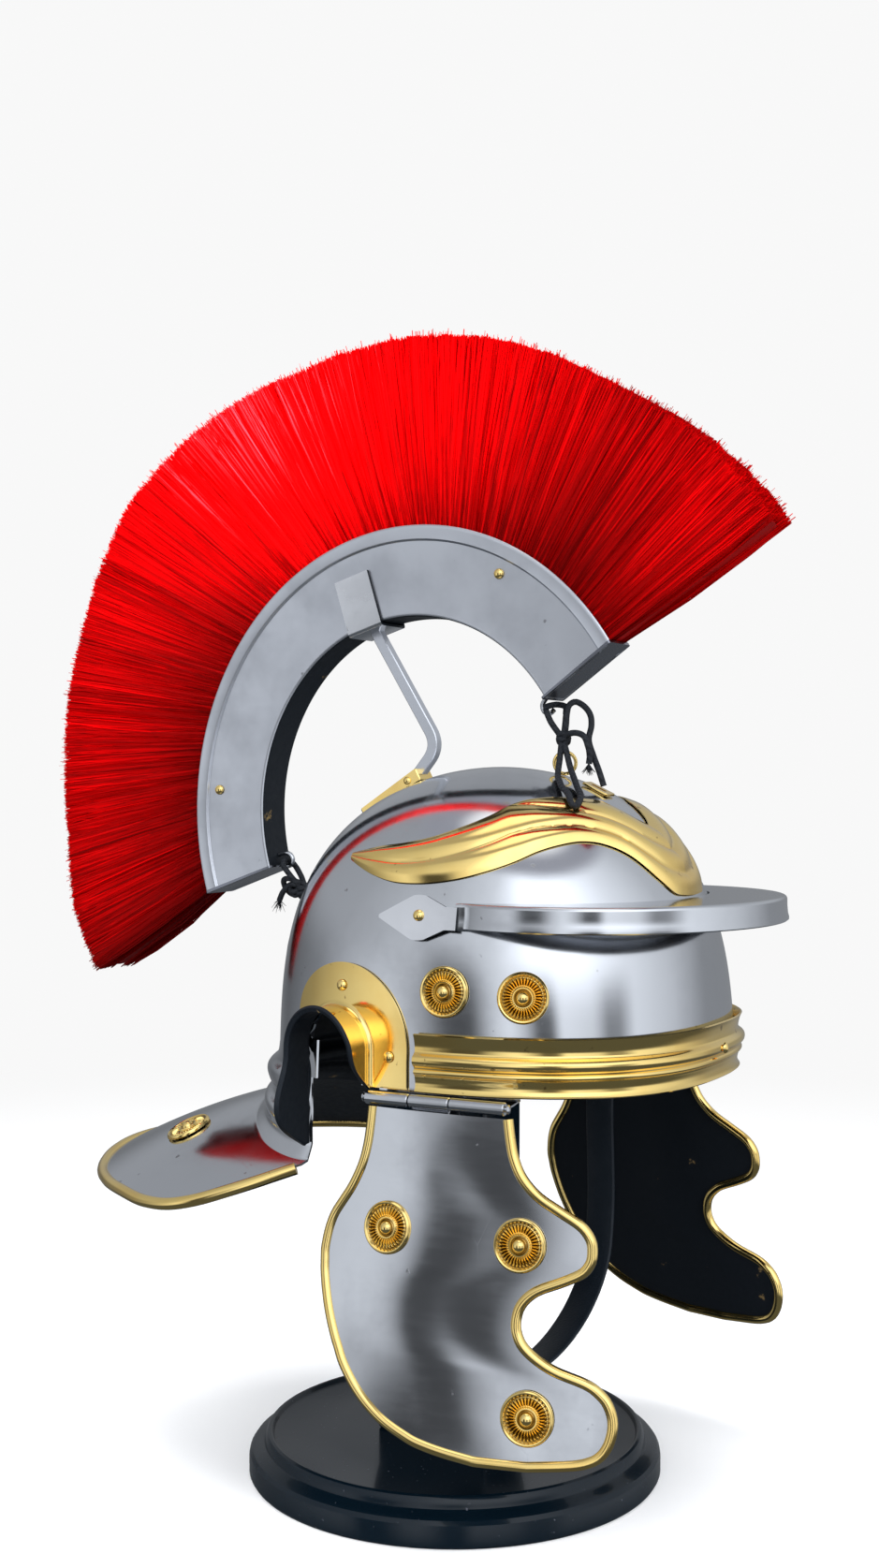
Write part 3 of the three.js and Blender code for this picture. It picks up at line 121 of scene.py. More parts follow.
def together(surfaces):
    """Several surfaces as one, with points closer than a micrometre welded and flat faces dropped."""
    starts = np.cumsum([0] + [len(s.points) for s in surfaces[:-1]])
    points = np.concatenate([s.points for s in surfaces])
    faces = np.concatenate([s.faces + k for s, k in zip(surfaces, starts)])
    uv = np.concatenate([s.uv for s in surfaces])
    finish = np.concatenate([s.finish for s in surfaces])
    _, first, same = np.unique(np.round(points * 1e6).astype(np.int64), axis=0, return_index=True,
                               return_inverse=True)
    faces = same.reshape(-1)[faces]
    real = (faces[:, 0] != faces[:, 1]) & (faces[:, 1] != faces[:, 2]) & (faces[:, 2] != faces[:, 0])
    return Surface(points[first], faces[real], uv[real], finish[real])


def point_normals(surface):
    """Area-weighted normals at the points."""
    corner = surface.points[surface.faces]
    normal = np.cross(corner[:, 1] - corner[:, 0], corner[:, 2] - corner[:, 0])
    total = np.zeros_like(surface.points)
    for k in range(3):
        np.add.at(total, surface.faces[:, k], normal)
    return total / np.maximum(np.linalg.norm(total, axis=1, keepdims=True), 1e-12)


def walled(surface, depth, inside=1):
    """A sheet's wall: its faces, the same faces a depth behind them, and a rim at every open edge."""
    count = len(surface.points)
    back = surface.points - point_normals(surface) * depth * 0.001
    edges = np.concatenate([surface.faces[:, [k, (k + 1) % 3]] for k in range(3)])
    ends = np.concatenate([surface.uv[:, [k, (k + 1) % 3]] for k in range(3)])
    _, first, times = np.unique(np.sort(edges, axis=1), axis=0, return_index=True, return_counts=True)
    a, b = edges[first[times == 1]].T
    rim_uv = ends[first[times == 1]]
    rim = np.concatenate([np.stack([b, a, a + count], 1), np.stack([b, a + count, b + count], 1)])
    faces = np.concatenate([surface.faces, surface.faces[:, ::-1] + count, rim])
    uv = np.concatenate([surface.uv, surface.uv[:, ::-1], rim_uv[:, [1, 0, 0]], rim_uv[:, [1, 0, 1]]])
    finish = np.concatenate([surface.finish, np.full(len(surface.faces), inside), np.zeros(len(rim), int)])
    return Surface(np.concatenate([surface.points, back]), faces, uv, finish)


made = {}


def piece(name, surface, body, finishes, replaces=(), crease=38, tones=None):
    """Puts a surface into a mesh object that rides on a body and stands for some nodes."""
    surface = surface if isinstance(surface, Surface) else together(surface)
    mesh = bpy.data.meshes.new(name)
    mesh.vertices.add(len(surface.points))
    mesh.vertices.foreach_set("co", surface.points.astype(np.float32).ravel())
    mesh.loops.add(surface.faces.size)
    mesh.loops.foreach_set("vertex_index", surface.faces.astype(np.int32).ravel())
    mesh.polygons.add(len(surface.faces))
    mesh.polygons.foreach_set("loop_start", np.arange(0, surface.faces.size, 3, dtype=np.int32))
    mesh.polygons.foreach_set("use_smooth", np.ones(len(surface.faces), bool))
    mesh.polygons.foreach_set("material_index", surface.finish.astype(np.int32))
    mesh.update(calc_edges=True)
    mesh.uv_layers.new(name="surface").uv.foreach_set("vector", surface.uv.astype(np.float32).ravel())
    if tones is not None:
        mesh.attributes.new("tone", "FLOAT", "POINT").data.foreach_set("value", tones.astype(np.float32))
    if crease:
        mesh.set_sharp_from_angle(angle=math.radians(crease))
    for finish in finishes:
        mesh.materials.append(finish)
    obj = bpy.data.objects.new(name, mesh)
    bpy.context.scene.collection.objects.link(obj)
    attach(obj, body)
    if replaces:
        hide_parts(*replaces)
    made[name] = len(surface.faces)
    return obj


def both_sides(name, shape, body, finishes, node, crease=38):
    """A piece on the left and its mirror image on the right; both names end with the side."""
    for side, own_shape in (("left", shape), ("right", mirrored(shape))):
        rides = body + side if body == CHEEK else body
        piece(name + side, own_shape, rides, finishes, [node + side], crease)


# %% [markdown]
# Rolled edges, cords, pins and the support bar are all one idea: a small profile carried along a
# path. A rosette or the stand's base is a profile turned round an axis.

# %% Paths, tubes and turned shapes
def smooth(keys, values, at):
    """A smooth curve through a table: cubic pieces whose slopes come from the neighbouring rows."""
    keys, values = np.asarray(keys, float), np.asarray(values, float)
    slopes = np.gradient(values, keys, axis=0)
    k = np.clip(np.searchsorted(keys, at) - 1, 0, len(keys) - 2)
    step = keys[k + 1] - keys[k]
    t = np.clip((at - keys[k]) / step, 0, 1)
    if values.ndim > 1:
        step, t = step[..., None], t[..., None]
    return ((1 + 2 * t) * (1 - t) ** 2 * values[k] + t * (1 - t) ** 2 * step * slopes[k]
            + t * t * (3 - 2 * t) * values[k + 1] + t * t * (t - 1) * step * slopes[k + 1])


def travelled(points):
    """The way along a path from its first point to each of its points."""
    return np.concatenate([[0], np.cumsum(np.linalg.norm(np.diff(points, axis=0), axis=1))])


def evenly(points, count):
    """The same path as a number of evenly spaced points."""
    run = travelled(points)
    even = np.linspace(0, run[-1], count)
    return np.stack([np.interp(even, run, points[:, k]) for k in range(3)], axis=1)


def along(points, count):
    """A smooth path through route points, as evenly spaced points."""
    points = np.asarray(points, float)
    keys = travelled(points)
    return evenly(smooth(keys, points, np.linspace(0, keys[-1], 12 * len(points))), count)


def unit(vectors):
    """The same directions with length one."""
    return vectors / np.maximum(np.linalg.norm(vectors, axis=-1, keepdims=True), 1e-12)


def frames(path, side):
    """Two directions across a path: one close to the given side direction, one square to both."""
    ahead = unit(np.gradient(path, axis=0))
    side = np.broadcast_to(np.asarray(side, float), path.shape)
    first = unit(side - (side * ahead).sum(axis=1, keepdims=True) * ahead)
    return first, np.cross(ahead, first)


def capped(rings, first, last, v=1.0):
    """A closed shape from rings of points, drawn together to a point at each end."""
    ends = [np.broadcast_to(point, rings[:1].shape) for point in (first, last)]
    return outward(grid(np.concatenate([ends[0], rings, ends[1]]), wrap=True, v=v))


def swept(path, profile, side, size=1.0):
    """A profile (a, b) in millimetres carried along a path in metres, a towards the side direction."""
    first, second = frames(path, side)
    profile = np.asarray(profile, float) * 0.001
    size = np.broadcast_to(size, len(path))[:, None, None]
    rings = (path[:, None] + first[:, None] * profile[None, :, :1] * size
             + second[:, None] * profile[None, :, 1:] * size)
    return capped(rings, path[0], path[-1], travelled(path)[-1])


def circle(radius, sides):
    """A round profile."""
    turn = np.linspace(0, 2 * math.pi, sides, endpoint=False)
    return np.stack([radius * np.cos(turn), radius * np.sin(turn)], axis=1)


def rounded(half_long, half_wide, radius, steps):
    """A rectangle with rounded corners; its halves reach to the middles of the corner arcs."""
    arc = np.linspace(0, math.pi / 2, steps)
    corners = []
    for quarter, (a, b) in enumerate(((1, 1), (-1, 1), (-1, -1), (1, -1))):
        turn = arc + quarter * math.pi / 2
        corners.append([a * half_long + radius * np.cos(turn), b * half_wide + radius * np.sin(turn)])
    return np.concatenate(corners, axis=1).T


def turned(profile, centre, axis, sides=64, wobble=None):
    """A profile (radius, height) in millimetres turned round an axis; wobble(radius, turn) adds height."""
    profile = np.asarray(profile, float)
    turn = np.linspace(0, 2 * math.pi, sides, endpoint=False)
    axis = unit(np.asarray(axis, float))
    helper = np.array([0, 0, 1.0]) if abs(axis[2]) < 0.9 else np.array([1.0, 0, 0])
    first = unit(np.cross(helper, axis))
    second = np.cross(axis, first)
    radius = np.repeat(profile[:, :1], sides, axis=1)
    height = np.repeat(profile[:, 1:2], sides, axis=1)
    if wobble is not None:
        height = height + wobble(radius, turn[None, :])
    spoke = np.cos(turn)[None, :, None] * first + np.sin(turn)[None, :, None] * second
    spots = np.asarray(centre, float) + 0.001 * (radius[..., None] * spoke + height[..., None] * axis)
    return outward(grid(spots, wrap=True))


# %% [markdown]
# A finish is a small network of shader nodes. Wrapping a socket in a class lets the maths be
# written as it is said: `0.2 + 0.1 * stains` adds the two Math nodes by itself.

# %% Shader words
class Value:
    """A shader socket that can stand in a sum or a product."""

    def __init__(self, finish, socket):
        self.finish, self.socket = finish, socket

    def math(self, operation, *values):
        return self.finish.node("ShaderNodeMath", dict(enumerate(values)), operation=operation)

    def __add__(self, other):
        return self.math("ADD", self, other)

    def __radd__(self, other):
        return self.math("ADD", other, self)

    def __rsub__(self, other):
        return self.math("SUBTRACT", other, self)

    def __mul__(self, other):
        return self.math("MULTIPLY", self, other)

    def __rmul__(self, other):
        return self.math("MULTIPLY", other, self)


class Network:
    """A node tree. node() adds any node: settings first, then the values or links of its sockets."""

    def __init__(self, tree):
        self.tree = tree
        self.tree.nodes.clear()

    def node(self, kind, inputs=None, out=0, stops=None, **settings):
        node = self.tree.nodes.new(kind)
        for key, value in settings.items():
            setattr(node, key, value)
        for k, (spot, colour) in enumerate(stops or ()):
            ramp = node.color_ramp
            stop = ramp.elements[k] if k < 2 else ramp.elements.new(spot)
            stop.position, stop.color = spot, (*colour, 1)
        for key, value in (inputs or {}).items():
            self.feed(node.inputs[key], value)
        return Value(self, node.outputs[out])

    def feed(self, socket, value):
        if isinstance(value, Value):
            self.tree.links.new(value.socket, socket)
        elif isinstance(value, tuple) and socket.type == "RGBA" and len(value) == 3:
            socket.default_value = (*value, 1)
        else:
            socket.default_value = value

    def between(self, value, low, high):
        """0 below low, 1 above high and smooth between them."""
        return self.node("ShaderNodeMapRange", {"Value": value, "From Min": low, "From Max": high},
                         interpolation_type="SMOOTHSTEP")

    def mix(self, amount, first, second):
        """A colour on the way from the first to the second; the node has three sockets of each name."""
        node = self.tree.nodes.new("ShaderNodeMix")
        node.data_type = "RGBA"
        inputs = (("Factor", "VALUE", amount), ("A", "RGBA", first), ("B", "RGBA", second))
        for name, kind, value in inputs:
            self.feed(next(s for s in node.inputs if s.name == name and s.type == kind), value)
        return Value(self, next(s for s in node.outputs if s.type == "RGBA"))

    def towards(self, direction, aim):
        """How much a direction points along an aim, from -1 to 1."""
        aim = tuple(unit(np.array(aim, float)))
        return self.node("ShaderNodeVectorMath", {0: direction, 1: aim}, out="Value",
                         operation="DOT_PRODUCT")


class Finish(Network):
    """One material on the principled shader."""

    def __init__(self, name, **constants):
        self.material = bpy.data.materials.new(name)
        self.material.use_nodes = True
        super().__init__(self.material.node_tree)
        self.shader = self.tree.nodes.new("ShaderNodeBsdfPrincipled")
        output = self.tree.nodes.new("ShaderNodeOutputMaterial")
        self.tree.links.new(self.shader.outputs[0], output.inputs[0])
        for name, value in constants.items():
            self.shader.inputs[name.replace("_", " ")].default_value = value
        self.place = self.node("ShaderNodeTexCoord", out="Object")

    def set(self, **inputs):
        for key, value in inputs.items():
            self.feed(self.shader.inputs[key.replace("_", " ")], value)
        return self

    def stretched(self, x, y, z):
        return self.node("ShaderNodeMapping", {"Vector": self.place, "Scale": (x, y, z)})

    def noise(self, scale, detail=3.0, rough=0.5, vector=None):
        return self.node("ShaderNodeTexNoise", {"Vector": vector or self.place, "Scale": scale,
                                                "Detail": detail, "Roughness": rough})

    def surface_uv(self):
        """The mesh's own map as two values."""
        both = self.node("ShaderNodeUVMap")
        return [self.node("ShaderNodeSeparateXYZ", {"Vector": both}, out=k) for k in (0, 1)]

    def bump(self, height, strength, distance=0.001):
        return self.node("ShaderNodeBump", {"Height": height, "Strength": strength, "Distance": distance},
                         out="Normal")


# %% [markdown]
# The steel is polished sheet: bright, a little blue, with very fine brushing, cloudy stains where
# hands and damp have dulled it, a few pits and hairline scratches.

# %% Polished steel
def polished_steel(name, pale, dark, rough):
    """Steel between two tones, with brushing, stains, pits and scratches."""
    steel = Finish(name, Metallic=1.0)
    brushed = steel.noise(55, 4, 0.6, steel.stretched(1, 1, 7))
    cloudy = steel.between(steel.noise(13, 5, 0.6), 0.46, 0.74)
    veil = steel.noise(6, 3, 0.5)
    pits = steel.between(steel.noise(150, 2, 0.5), 0.74, 0.79)
    swirl = steel.node("ShaderNodeTexVoronoi", {"Vector": steel.stretched(1, 1, 0.3), "Scale": 42.0},
                       feature="DISTANCE_TO_EDGE")
    hairline = (1 - steel.between(swirl, 0.0, 0.006)) * steel.between(steel.noise(24), 0.58, 0.66)
    clean = steel.mix(veil, dark, pale)
    stained = steel.mix(cloudy * 0.4, clean, tuple(0.66 * c for c in dark))
    steel.set(Base_Color=steel.mix(pits * 0.55, stained, (0.1, 0.09, 0.09)),
              Roughness=rough + 0.07 * brushed + 0.1 * cloudy + 0.06 * hairline + 0.2 * pits)
    height = brushed * 0.3 + pits * -0.7 + hairline * -0.25
    return steel.set(Normal=steel.bump(height, 0.05, 0.0006)).material


# %% [markdown]
# The brass is polished thin sheet and rolled wire. Warm reflections do most of the work; the
# nodes add tarnish in patches and the tiny dents of hand finishing.

# %% Polished brass
FLUTES = 34


def polished_brass(name, struck=False):
    """Brass with patches of tarnish; a struck disc has painted shade in its flute valleys and grooves as
    well.
    """
    brass = Finish(name, Metallic=1.0)
    patches = brass.between(brass.noise(28, 4, 0.55), 0.42, 0.72)
    fine = brass.noise(240, 3, 0.6)
    dents = brass.noise(55, 2, 0.5)
    spots = brass.between(brass.noise(170, 2, 0.5), 0.71, 0.76)
    warm = brass.mix(patches * 0.5, (1.0, 0.74, 0.27), (0.92, 0.59, 0.16))
    dirt_and_painted_shade = spots * 0.6
    if struck:
        around, outwards = brass.surface_uv()
        flute = around.math("COSINE", around * (2 * math.pi * FLUTES))
        band = brass.between(outwards, 0.5, 0.54) * (1 - brass.between(outwards, 0.7, 0.74))
        groove = (brass.between(outwards, 0.17, 0.22) * (1 - brass.between(outwards, 0.3, 0.34))
                  + brass.between(outwards, 0.7, 0.74) * (1 - brass.between(outwards, 0.79, 0.83)))
        # The flute valleys and the grooves are darkened with the tarnish colour as painted shade.
        dirt_and_painted_shade = dirt_and_painted_shade + band * brass.between(0 - flute, 0.2, 0.7) * 0.85 + groove * 0.55
    brass.set(Base_Color=brass.mix(dirt_and_painted_shade.math("MINIMUM", dirt_and_painted_shade, 1.0), warm, (0.13, 0.06, 0.012)),
              Roughness=0.08 + 0.06 * patches + 0.05 * fine + 0.15 * dirt_and_painted_shade)
    return brass.set(Normal=brass.bump(dents * 0.6 + fine * 0.1, 0.1, 0.001)).material


# %% [markdown]
# Inside, the sheets are painted black, worn through to the metal where they rub. The stand is
# sprayed gloss black over wood: a deep coat with a trace of grain and a few dust specks.

# %% Black paints
def black_inside():
    """Thin black paint with bare spots."""
    paint = Finish("black_inside", Specular_IOR_Level=0.25)
    worn = paint.between(paint.noise(60, 5, 0.65), 0.68, 0.74)
    speckle = paint.noise(300, 2)
    paint.set(Base_Color=paint.mix(worn, (0.003, 0.005, 0.008), (0.32, 0.22, 0.09)),
              Roughness=0.42 + 0.25 * speckle, Metallic=worn * 0.9)
    return paint.set(Normal=paint.bump(speckle, 0.15, 0.0004)).material


def gloss_black():
    """Sprayed black with a thin clear coat."""
    paint = Finish("gloss_black_wood", Coat_Weight=0.25, Coat_Roughness=0.05, Specular_IOR_Level=0.2)
    grain = paint.noise(40, 4, 0.6, paint.stretched(1, 8, 1))
    dust = paint.between(paint.noise(420, 2), 0.72, 0.76)
    smear = paint.between(paint.noise(9, 3), 0.4, 0.7)
    paint.set(Base_Color=paint.mix(dust, (0.0015, 0.005, 0.009), (0.05, 0.055, 0.07)),
              Roughness=0.2 + 0.12 * smear + 0.25 * dust)
    return paint.set(Normal=paint.bump(grain, 0.05, 0.0005)).material


# %% [markdown]
# Leather has a pebbled grain of small cells with rounded creases; cord shows its twist, a spiral
# that follows the tube's own UV map; bristles differ in tone one from the next, and an attribute on
# the points carries that tone together with painted light and shade.

# %% Leather, cord and bristle
def black_leather():
    """Leather whose small cells come from a cell pattern."""
    leather = Finish("black_leather", Specular_IOR_Level=0.3)
    cells = leather.node("ShaderNodeTexVoronoi", {"Vector": leather.place, "Scale": 900.0}, out="Distance")
    creases = leather.noise(60, 4, 0.6)
    leather.set(Base_Color=leather.mix(creases, (0.003, 0.006, 0.01), (0.013, 0.018, 0.025)),
                Roughness=0.38 + 0.2 * creases)
    return leather.set(Normal=leather.bump(cells * 0.7 + creases * 0.5, 0.35, 0.0004)).material


def black_cord():
    """Cord twisted from two strands, with a strand every 3.5 mm along it."""
    cord = Finish("black_cord", Specular_IOR_Level=0.35)
    around, onward = cord.surface_uv()
    twist = cord.place.math("SINE", around * (4 * math.pi) + onward * (2 * math.pi / 0.0035))
    fuzz = cord.noise(900, 3)
    cord.set(Base_Color=cord.mix(fuzz, (0.002, 0.003, 0.005), (0.012, 0.014, 0.018)),
             Roughness=0.55 + 0.25 * fuzz)
    return cord.set(Normal=cord.bump(twist * 0.5 + fuzz * 0.6, 0.6, 0.0005)).material


def red_bristle():
    """Dyed hair, from nearly black in painted shade to red and a pinkish painted sheen, by the tone of each
    point.
    """
    hair = Finish("red_bristle", Specular_IOR_Level=0.03)
    tone = hair.node("ShaderNodeAttribute", out="Fac", attribute_name="tone")
    blotch = hair.noise(30, 3)
    deep = hair.mix(hair.between(tone, 0.0, 1.0), (0.05, 0.0, 0.0), (0.93, 0.0, 0.001))
    # Tones above 1.1 turn pinkish: a painted sheen.
    painted_sheen = hair.mix(hair.between(tone, 1.1, 1.7), deep, (1.0, 0.07, 0.1))
    return hair.set(Base_Color=painted_sheen, Roughness=0.38 + 0.2 * blotch).material


steel = polished_steel("polished_steel", (0.68, 0.695, 0.72), (0.58, 0.595, 0.625), 0.09)
# The satin steel of the box and support is rougher than the polished steel, and paler as painted light.
box_steel_painted_light = polished_steel("satin_steel_painted_light", (0.78, 0.8, 0.84), (0.58, 0.6, 0.65), 0.26)
# A darker copy of the polished steel: painted shade on the crest box's end plates.
painted_shade_steel = polished_steel("painted_shade_steel", (0.34, 0.35, 0.39), (0.22, 0.23, 0.27), 0.22)
# A paler copy of the polished steel: a painted highlight on the parts that take it.
painted_light_steel = polished_steel("painted_light_steel", (0.86, 0.87, 0.9), (0.78, 0.79, 0.82), 0.18)
brass, rose_brass = polished_brass("polished_brass"), polished_brass("struck_brass", True)
inside, gloss = black_inside(), gloss_black()
leather, cord_black, bristle = black_leather(), black_cord(), red_bristle()

# %% [markdown]
# The cords. A thin black cord is knotted to the hook at each end of the crest box. The rear one
# hangs down the back of the bowl to the nape. The front one
# is a knot with a long hanging bow, two ends, the shorter one frayed, and a loop round its hook.

# %% Cords
CORD = 1.5
rear_strand = [[-88.3, 0.6, 276.9], [-91, 1, 270.5], [-94.5, 1.5, 262], [-97, 2, 252], [-97.5, 2.5, 243],
               [-96.5, 2.5, 233.5], [-95, 2, 224], [-90, 1.5, 216.5], [-82.1, 1, 211.6]]
rear_loop = [[-90.5, 3, 285], [-95, 4.8, 290.5], [-99.6, 4.6, 296.4], [-100.6, 0, 298.4],
             [-99.6, -4.6, 296.4], [-95, -4.8, 290.5], [-90.5, -2, 285]]
rear_end = [[-91, 2, 286], [-96, 3, 285.5], [-100, 3.5, 282], [-103, 3, 277]]
rear_bow = [[-90, 0, 284], [-94, -3, 280.5], [-98.5, -3, 280], [-101, 0, 283.5], [-100, 3, 288],
            [-95, 3.5, 288.5], [-90.5, 1, 285]]


def route(points, count):
    """Route points (forward, right, up) as a smooth path in metres."""
    f, r, u = along(points, count).T
    return row(f, -r, u)


def cord_tube(points, count):
    """A cord along route points, its section's first direction kept well off the way it runs."""
    path = route(points, count)
    level = abs(path[-1, 2] - path[0, 2]) < 0.02
    return swept(path, circle(CORD, 12), (0.3, 0.2, 0.9) if level else (1, 0.3, 0))


def frayed(tip, ahead, count=26, length=7.0):
    """Thin fibres that fan out from a cut end, each a tapered four-sided tube."""
    parts = []
    for _ in range(count):
        aim = unit(np.asarray(ahead, float) + random.normal(0, 0.35, 3))
        reach = length * random.uniform(0.5, 1.0) * 0.001
        bend = random.normal(0, 0.12, 3)
        t = np.linspace(0, 1, 5)[:, None]
        fibre = tip + aim * reach * t + bend * reach * t * t
        parts.append(swept(fibre, circle(0.32, 4), (0.1, 0.9, 0.4), 1 - 0.7 * t[:, 0]))
    return parts


def knot(centre, size, seed):
    """Three turns of cord wound round a small ball, each tilted its own way."""
    turn = np.linspace(0, 2 * math.pi, 40)
    f, r, u = centre
    parts = []
    for k in range(3):
        tilt = seed + k * 1.15
        across = 0.8 * size * np.sin(turn) * np.cos(tilt)
        ring = row(f + 0.8 * size * np.cos(turn), -r + across, u + size * np.sin(turn) * np.sin(tilt))
        parts.append(swept(ring, circle(CORD, 10), (0.11, 0.52, 0.85)))
    return parts


strand_path = route(rear_strand, 40)
strand = piece("rear_tie_strand_cord", cord_tube(rear_strand, 40), HELMET, [cord_black],
               ["rear_tie_strand"])
rear = [cord_tube(rear_loop, 40), cord_tube(rear_end, 16), cord_tube(rear_bow, 40)]
rear += knot((-89.4, 1, 282.4), 3.4, 0.4) + knot((-93.5, 1.5, 283.5), 3.6, 1.3)
rear += frayed(row(-102.6, -3, 277.6), (0, 0.35, -0.9))
piece("rear_tie_knot", rear, HELMET, [cord_black], ["rear_tie"])
front_hang = [[60, 3, 359], [60.6, 6.5, 350], [62.1, 11.9, 342.6], [67.7, 21.7, 339.1], [71, 26.8, 336.9],
              [75.2, 31.6, 335], [79.4, 36.6, 332.4], [82.3, 39.8, 328.8], [84, 40.3, 327.8],
              [83.9, 36.1, 329.6], [80.9, 27.1, 333], [76, 19.9, 336.2], [71.4, 13.4, 340.4], [67, 8.5, 346],
              [63.5, 5, 353], [61, 3, 359]]
front_second = [[61, 3, 360], [65, 5, 362], [69.2, 6, 362.3], [73.5, 7, 360.6], [75.5, 7, 356.2],
                [76, 6, 351.3], [75.6, 6, 347.5]]
front_bow = [[60.5, 2, 359], [62, 2.5, 366], [62.3, 2, 372], [62.5, 0, 375.8], [64.3, -3, 377.6],
             [68.6, -4, 375.4], [72, -4, 370.8], [72.9, -3, 366.3], [72.4, -1, 359.5], [75.7, 1, 351.4],
             [79.2, 2, 343.8], [81.3, 1.5, 337]]
front_loop = [[59, 3, 361.5], [54.5, 5, 369], [52.4, 4.6, 374.5], [52.4, 0, 375.9], [54.5, -4.5, 376.5],
              [58.5, -4, 375.5], [60.3, -1, 371.5], [60.2, 0, 365], [60, 1, 360]]
front = [cord_tube(points, 60) for points in (front_hang, front_second, front_bow, front_loop)]
front += knot((60.5, 2, 359.8), 2.9, 1.0) + frayed(row(75.6, -6, 347.6), (0.1, 0, -1), 40, 6.0)
piece("front_tie_knot", front, HELMET, [cord_black], ["front_tie"])

# %% [markdown]
# The bowl is a dome whose plan and side view are both squarer than an ellipse. Its wall point is
# a power of cosine and sine, scaled by how far up the dome it lies.

# %% Bowl
RIM, HIGH, LONG, WIDE, AHEAD, LEAN = 203.0, 143.4, 107.5, 97.8, 29.4, 3.4
RISE_POWER, WAIST_POWER = 3.26, 1.95
SHEET, GAP = 1.2, 0.45
CENTRE = row(AHEAD, 0, 250)


def waist(up):
    """Share of full size, power of the plan and middle of the bowl at a height."""
    rise = np.clip((np.asarray(up, float) - RIM) / HIGH, 0, 1)
    share = (1 - rise ** RISE_POWER) ** (1 / WAIST_POWER)
    return share, 2.5 - 0.5 * rise, AHEAD - LEAN * rise


def signed(value, power):
    """A power that keeps the sign."""
    return np.sign(value) * np.abs(value) ** power


def bowl_wall(turn, up, out=0.0):
    """Forward and left of the wall at a plan turn: a power of cosine and of sine."""
    scale, plan, middle = waist(up)
    return (middle + (LONG * scale + out) * signed(np.cos(turn), 2 / plan),
            (WIDE * scale + out) * signed(np.sin(turn), 2 / plan))


def bowl_side(forward, up, out=0.0):
    """How far left the wall is at a forward place and a height."""
    scale, plan, middle = waist(up)
    share = np.clip(np.abs((forward - middle) / (LONG * scale + out)), 0, 1)
    return (WIDE * scale + out) * (1 - share ** plan) ** (1 / plan)


def bowl_depth(f, l, u):
    """Positive outside the bowl: the plan's own radius minus the share of full size at that height."""
    scale, plan, middle = waist(u)
    return ((np.abs(f - middle) / LONG) ** plan + (np.abs(l) / WIDE) ** plan) ** (1 / plan) - scale


def bowl_normal(f, l, u):
    """The wall's direction outwards, from small steps each way."""
    step = 0.2
    slopes = [bowl_depth(f + step, l, u) - bowl_depth(f - step, l, u),
              bowl_depth(f, l + step, u) - bowl_depth(f, l - step, u),
              bowl_depth(f, l, u + step) - bowl_depth(f, l, u - step)]
    return unit(np.stack(np.broadcast_arrays(*slopes), axis=-1))


def bowl_on(azimuth, up, out):
    """A point seen from the middle at an azimuth and a height, pushed out square to the wall."""
    scale, plan, middle = waist(up)
    ahead, aside = np.cos(azimuth), np.sin(azimuth)
    reach = scale / ((np.abs(ahead) / LONG) ** plan + (np.abs(aside) / WIDE) ** plan) ** (1 / plan)
    f, l = middle + reach * ahead, reach * aside
    normal = bowl_normal(f, l, up)
    return f + out * normal[..., 0], l + out * normal[..., 1], up + out * normal[..., 2]


def bowl_above(forward, left, out):
    """The point of the bowl above a place in plan, and the wall's normal there."""
    low, high = RIM, RIM + HIGH
    for _ in range(40):
        middle = (low + high) / 2
        low, high = (low, middle) if bowl_depth(forward, left, middle) > 0 else (middle, high)
    normal = bowl_normal(forward, left, low)
    return np.array([forward, left, low]) + out * normal, normal


# %% [markdown]
# The skull is one sheet: the dome with an arch cut out over each ear, then the nape, whose table
# of ribs is a profile from the seam down, and the neck guard, a plate with an arched section.

# %% Skull: crown, nape and neck guard
NAPE, SEAM = math.radians(116.5), RIM + 11
front_turns = np.linspace(-NAPE, NAPE, 201)
nape_turns = np.linspace(NAPE, 2 * math.pi - NAPE, 111)
around = np.concatenate([front_turns, nape_turns[1:-1]])
bend = np.linspace(0, 1, 4000) ** 1.5 * math.pi / 2
rises, waists = np.sin(bend) ** (2 / RISE_POWER), np.cos(bend) ** (2 / WAIST_POWER)
upper = rises >= (SEAM - RIM) / HIGH
arc = travelled(np.stack([rises[upper] * HIGH, waists[upper] * LONG], axis=1))
rise_rows = np.interp(np.linspace(0, arc[-1], 92), arc, rises[upper])
rise_rows[0], rise_rows[-1] = (SEAM - RIM) / HIGH, 1
heights = np.concatenate([np.linspace(RIM, SEAM, 7)[:-1], RIM + HIGH * rise_rows])

EAR_AT, EAR_HALF, EAR_TOP = -8.5, 18.5, 219.0


def ear_depth(f, u):
    """Negative inside the arch of the ear opening in side view."""
    return np.hypot(f - EAR_AT, np.maximum(u - EAR_TOP, 0)) - EAR_HALF


def ear_edge(f, l, u):
    """Moves the points just inside the arch onto it, so that the opening has a clean edge."""
    depth = ear_depth(f, u)
    near = (depth < -0.01) & (depth > -3.2)
    share = EAR_HALF / np.maximum(depth + EAR_HALF, 1e-6)
    nf = np.where(near, EAR_AT + (f - EAR_AT) * share, f)
    nu = np.where(near & (u > EAR_TOP), EAR_TOP + (u - EAR_TOP) * share, u)
    nl = np.where(near, np.sign(l) * bowl_side(nf, nu), l)
    return nf, nl, nu


def in_ear(f, u):
    """Cells of a grid with all four corners inside the arch."""
    gone = ear_depth(f, u) < -0.01
    return gone[:-1, :-1] & gone[1:, :-1] & gone[:-1, 1:] & gone[1:, 1:]


turns, ups = np.meshgrid(around, heights)
f, l = bowl_wall(turns, ups)
below = (heights[:-1] < SEAM)[:, None] & (np.arange(len(around))[None, :] >= len(front_turns) - 1)
f, l, u = ear_edge(f, l, ups)
lost = below | in_ear(np.c_[f, f[:, :1]], np.c_[ups, ups[:, :1]])
crown = grid(row(f, l, u), wrap=True, away=CENTRE, keep=~lost)

